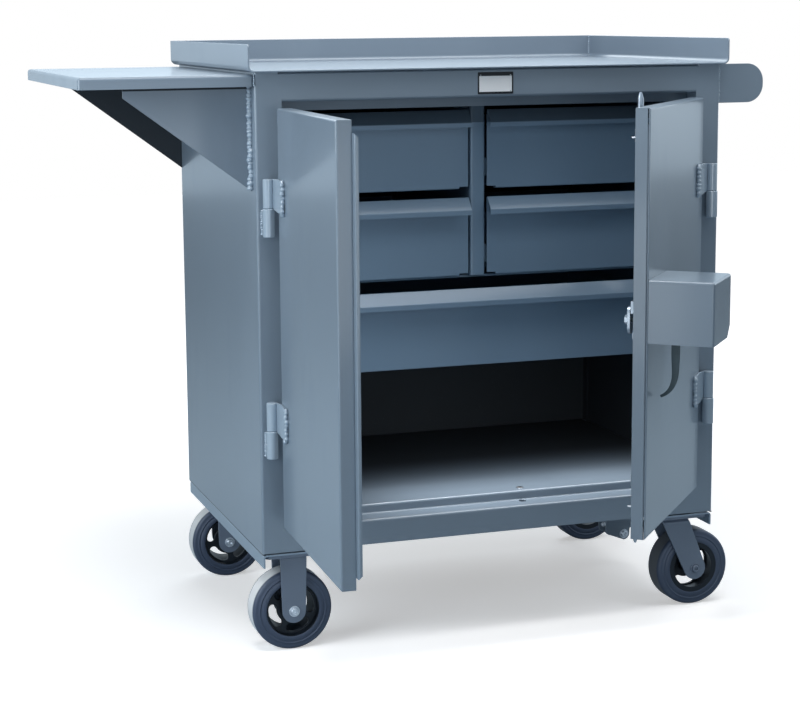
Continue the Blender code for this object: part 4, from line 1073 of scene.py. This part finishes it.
# Caster forks. Pressed steel forks carry the wheels on axle bolts; the two on the right swivel on
# a ball race under their plate, the two on the left are rigid.
fork_tone = (0.118, 0.152, 0.212, 1)
fork_light = (0.158, 0.190, 0.246, 1)
fork_roughness = 0.42
fork_ease = 0.0007
bright_tone = (0.74, 0.76, 0.80, 1)
bright_dull = (0.50, 0.53, 0.57, 1)
leg_reach = 0.0341
axle_head = 0.0102
axle_profile = ((0, 0), (1, 0), (1, 0.17), (0.86, 0.17), (0.80, 0.051), (0.72, 0.051), (0.68, 0.476),
                (0.60, 0.56), (0.40, 0.56), (0.32, 0.196), (0, 0.196))

bright_zinc = plated("bright_zinc", bright_tone, bright_dull, 0.2)
fork_coat = powder_coat("fork_coat", fork_tone, fork_light, coat_worn, fork_roughness)
for node in ("swivel_plate_front", "swivel_plate_rear"):
    dress(node, fork_coat, "fork_paint", ease=thick_ease)


def bare_sides(node, middle_y, reach, top):
    """A packed form without the bolt heads that stand out beside it below top."""
    shape = packed_form(node)
    heads = [v for v in shape.verts if abs(v.co.y - middle_y) > reach + weld_proud and v.co.z < top]
    bmesh.ops.delete(shape, geom=heads, context="VERTS")
    bmesh.ops.holes_fill(shape, edges=[edge for edge in shape.edges if edge.is_boundary])
    face_out(shape)
    return shape


faces = (("near", -1), ("far", 1))


def axle_end(name, centre, hand, body, radius, finish, slot):
    """A washer and the round head of an axle, on the side that hand points to along Y."""
    profile = [(radius * out, radius * height * hand) for out, height in axle_profile]
    shape = turned(profile, centre, "Y", fine_round * 2)
    add_piece(name, shape, finish, body, slot=slot)


for row in ("front", "rear"):
    for label, node, body in (("left", f"rigid_fork_{row}", "cart"),
                              ("right", f"swivel_fork_{row}", f"{row}_swivel")):
        low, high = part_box(f"tyre_{row}_{label}")
        centre = (low + high) / 2
        shape = bare_sides(node, centre.y, leg_reach, high.z)
        add_piece(f"{node}_legs", shape, fork_coat, body, node, slot="fork_paint", ease=fork_ease)
        metal = (bright_zinc, "zinc") if label == "left" else (fork_coat, "fork_paint")
        for side, hand in faces:
            axle_end(f"axle_{row}_{label}_{side}", centre + Vector((0, hand * leg_reach, 0)), hand,
                     body, axle_head, *metal)

# Wheels. Each is a tyre of moulded rubber on a black cast hub, which has a tapered rim, a boss and a
# web with four curved slots. The treads are dusty. On the two wheels on the left the tread is made near
# white, which also paints in the strong light on them. On the two on the right it is dark grey, which
# is painted shade.
rubber_tone = (0.034, 0.048, 0.086, 1)
rubber_dust = (0.060, 0.080, 0.125, 1)
# Tread colours: dusty, made near white on the left as painted light and dark grey on the right as
# painted shade.
tread_dust_and_light = {"left": (0.93, 0.93, 0.92, 1), "right": (0.15, 0.15, 0.155, 1)}
hub_tone = (0.010, 0.014, 0.020, 1)
hub_roughness = 0.34
tyre_steps = 96
tyre_depth = 0.017
shoulder = 0.007
shoulder_steps = 8
side_step = 0.0009
side_rings = ((0.0004, 0), (0.0012, 1), (0.0028, 1), (0.0036, 0), (0.0048, 0), (0.0056, 1))
lip_inner = 0.0507
lip_sheet = 0.00018
lip_slope = 0.0004
webs_forward = {"left": 0.012, "right": -0.012}
web_half = 0.0032
web_ease = 0.0008
rim_in = 0.0502
rim_draft = 0.0095
boss = 0.0158
slot_inner = 0.0285
slot_outer = 0.0445
slot_half = math.radians(36)
slot_steps = 10
wheel_turns = {("front", "left"): 0.33, ("rear", "left"): 0.98, ("front", "right"): -0.035,
               ("rear", "right"): 0.39}


def moulded_rubber(name, middle_y, dust_and_light):
    """Dark moulded rubber with fine grain; between the shoulders the tread takes the given dusty
    colour, which on brightly lit wheels is made pale as painted light and on shaded ones dark as
    painted shade.
    """
    finish = Finish(name)
    cloud = finish.noise(18.0, 4.0)
    grain = finish.noise(900.0, 2.0)
    tread = finish.ramp(abs(finish.along("Y") - middle_y) * 40.0, (0.60, 1), (0.78, 0))
    clean = finish.mixed(cloud, rubber_tone, rubber_dust)
    finish.set("Base Color", finish.mixed(tread * (cloud * 0.3 + 0.7), clean, dust_and_light))
    finish.set("Roughness", cloud * 0.12 + tread * 0.2 + 0.38)
    finish.bump(grain, 0.00008, 0.4)
    return finish.material


def slot_points(middle):
    """Outline of one curved slot with round ends, about the angle of its middle."""
    mean = (slot_inner + slot_outer) / 2
    end = (slot_outer - slot_inner) / 2
    span = slot_half - end / mean
    points = []
    for radius, start, stop, turn in ((slot_outer, middle - span, middle + span, 0),
                                      (slot_inner, middle + span, middle - span, math.pi)):
        cap = arc(end, stop + turn, stop + turn + math.pi, slot_steps)[1:-1]
        points += arc(radius, start, stop, slot_steps)
        points += [(mean * math.cos(stop) + x, mean * math.sin(stop) + z) for x, z in cap]
    return points


cast_black = enamel("hub_black", hub_tone, hub_roughness)
for row in ("front", "rear"):
    row_y = sum(corner.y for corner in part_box(f"tyre_{row}_left")) / 2
    for label in ("left", "right"):
        wheel, hub = f"{row}_{label}_wheel", f"hub_{row}_{label}"
        rubber = moulded_rubber(f"tyre_rubber_{row}_{label}", row_y, tread_dust_and_light[label])
        low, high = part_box(f"tyre_{row}_{label}")
        centre = (low + high) / 2
        outer = (high.z - low.z) / 2
        half = (high.y - low.y) / 2
        inner = outer - tyre_depth
        side = [(inner, half - lip_sheet), (lip_inner, half - lip_sheet), (lip_inner + lip_slope, half)]
        side += [(inner + reach, half - side_step * sunk) for reach, sunk in side_rings]
        side += [(outer - shoulder + right, half - side_step - shoulder + up)
                 for right, up in reversed(arc(shoulder, 0, math.pi / 2, shoulder_steps))]
        profile = [(radius, -height) for radius, height in side] + side[::-1]
        shape = turned(profile + [profile[0]], centre, "Y", tyre_steps)
        add_piece(f"tyre_{row}_{label}_moulded", shape, rubber, wheel, f"tyre_{row}_{label}",
                  slot="tyre", ease=0.0)
        web_forward = webs_forward[label]
        hub_low, hub_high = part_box(hub)
        boss_half = (hub_high.y - hub_low.y) / 2
        rim_out = inner - weld_proud
        rim_half = math.copysign(half - lip_sheet * 2, web_forward)
        profile = [(rim_out, -rim_half), (rim_in, -rim_half), (rim_in - rim_draft, rim_half),
                   (rim_out, rim_half), (rim_out, -rim_half)]
        add_piece(f"{hub}_rim", turned(profile, centre, "Y", tyre_steps), cast_black, wheel, hub,
                  slot="hub", ease=thick_ease)
        profile = [(0, -boss_half), (boss, -boss_half), (boss, -web_forward - web_half),
                   (boss, web_half - web_forward), (boss, boss_half), (0, boss_half)]
        add_piece(f"{hub}_boss", turned(profile, centre, "Y", tyre_steps // 2), cast_black, wheel,
                  slot="hub", ease=thick_ease)
        shape = bmesh.new()
        loops = [arc(radius, 0, math.tau, tyre_steps)[:-1]
                 for radius in (rim_in - rim_draft * 0.1, boss * 0.96)]
        loops += [slot_points(wheel_turns[row, label] + math.tau / 4 * index) for index in range(4)]
        for loop in loops:
            verts = [shape.verts.new((centre.x + x, centre.y - web_forward, centre.z + z))
                     for x, z in loop]
            for pair in zip(verts, verts[1:] + verts[:1]):
                shape.edges.new(pair)
        bmesh.ops.triangle_fill(shape, edges=shape.edges, use_beauty=True, use_dissolve=False)
        add_piece(f"{hub}_web", shape, cast_black, wheel, slot="hub", sheet=web_half * 2, ease=web_ease)

# Floor lock. A pedal on a bolt between two pressed cheeks pushes a rubber foot onto the floor. A
# second, smaller bolt holds the cheeks together.
cheek_reach = 0.019
cheek_height = 0.03
bolt_head = axle_head * 0.95
pin_head = axle_head * 0.5
lock_pin_x = 0.3566
lock_pin_z = 0.1057
foot_ease = 0.0008

low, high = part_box("floor_lock_frame")
middle_y = (low.y + high.y) / 2
shape = bare_sides("floor_lock_frame", middle_y, cheek_reach, low.z + cheek_height)
add_piece("floor_lock_cheeks", shape, body_coat, "cart", "floor_lock_frame", slot="fork_paint",
          ease=thick_ease)
pivot = joints["floor_lock_pedal_hinge"]["pos_m"]
for side, hand in faces:
    axle_end(f"floor_lock_bolt_{side}", Vector((pivot[0], middle_y + hand * cheek_reach, pivot[2])),
             hand, "cart", bolt_head, bright_zinc, "zinc")
dress("floor_lock_pedal", body_coat, "fork_paint", ease=thick_ease)
pin_x = at(lock_pin_x, 0, 0).x
for side, hand in faces:
    axle_end(f"floor_lock_pin_{side}", Vector((pin_x, middle_y + hand * cheek_reach, lock_pin_z)),
             hand, "cart", pin_head, bright_zinc, "zinc")
dress("floor_lock_foot", rubber, "foot_rubber", ease=foot_ease)
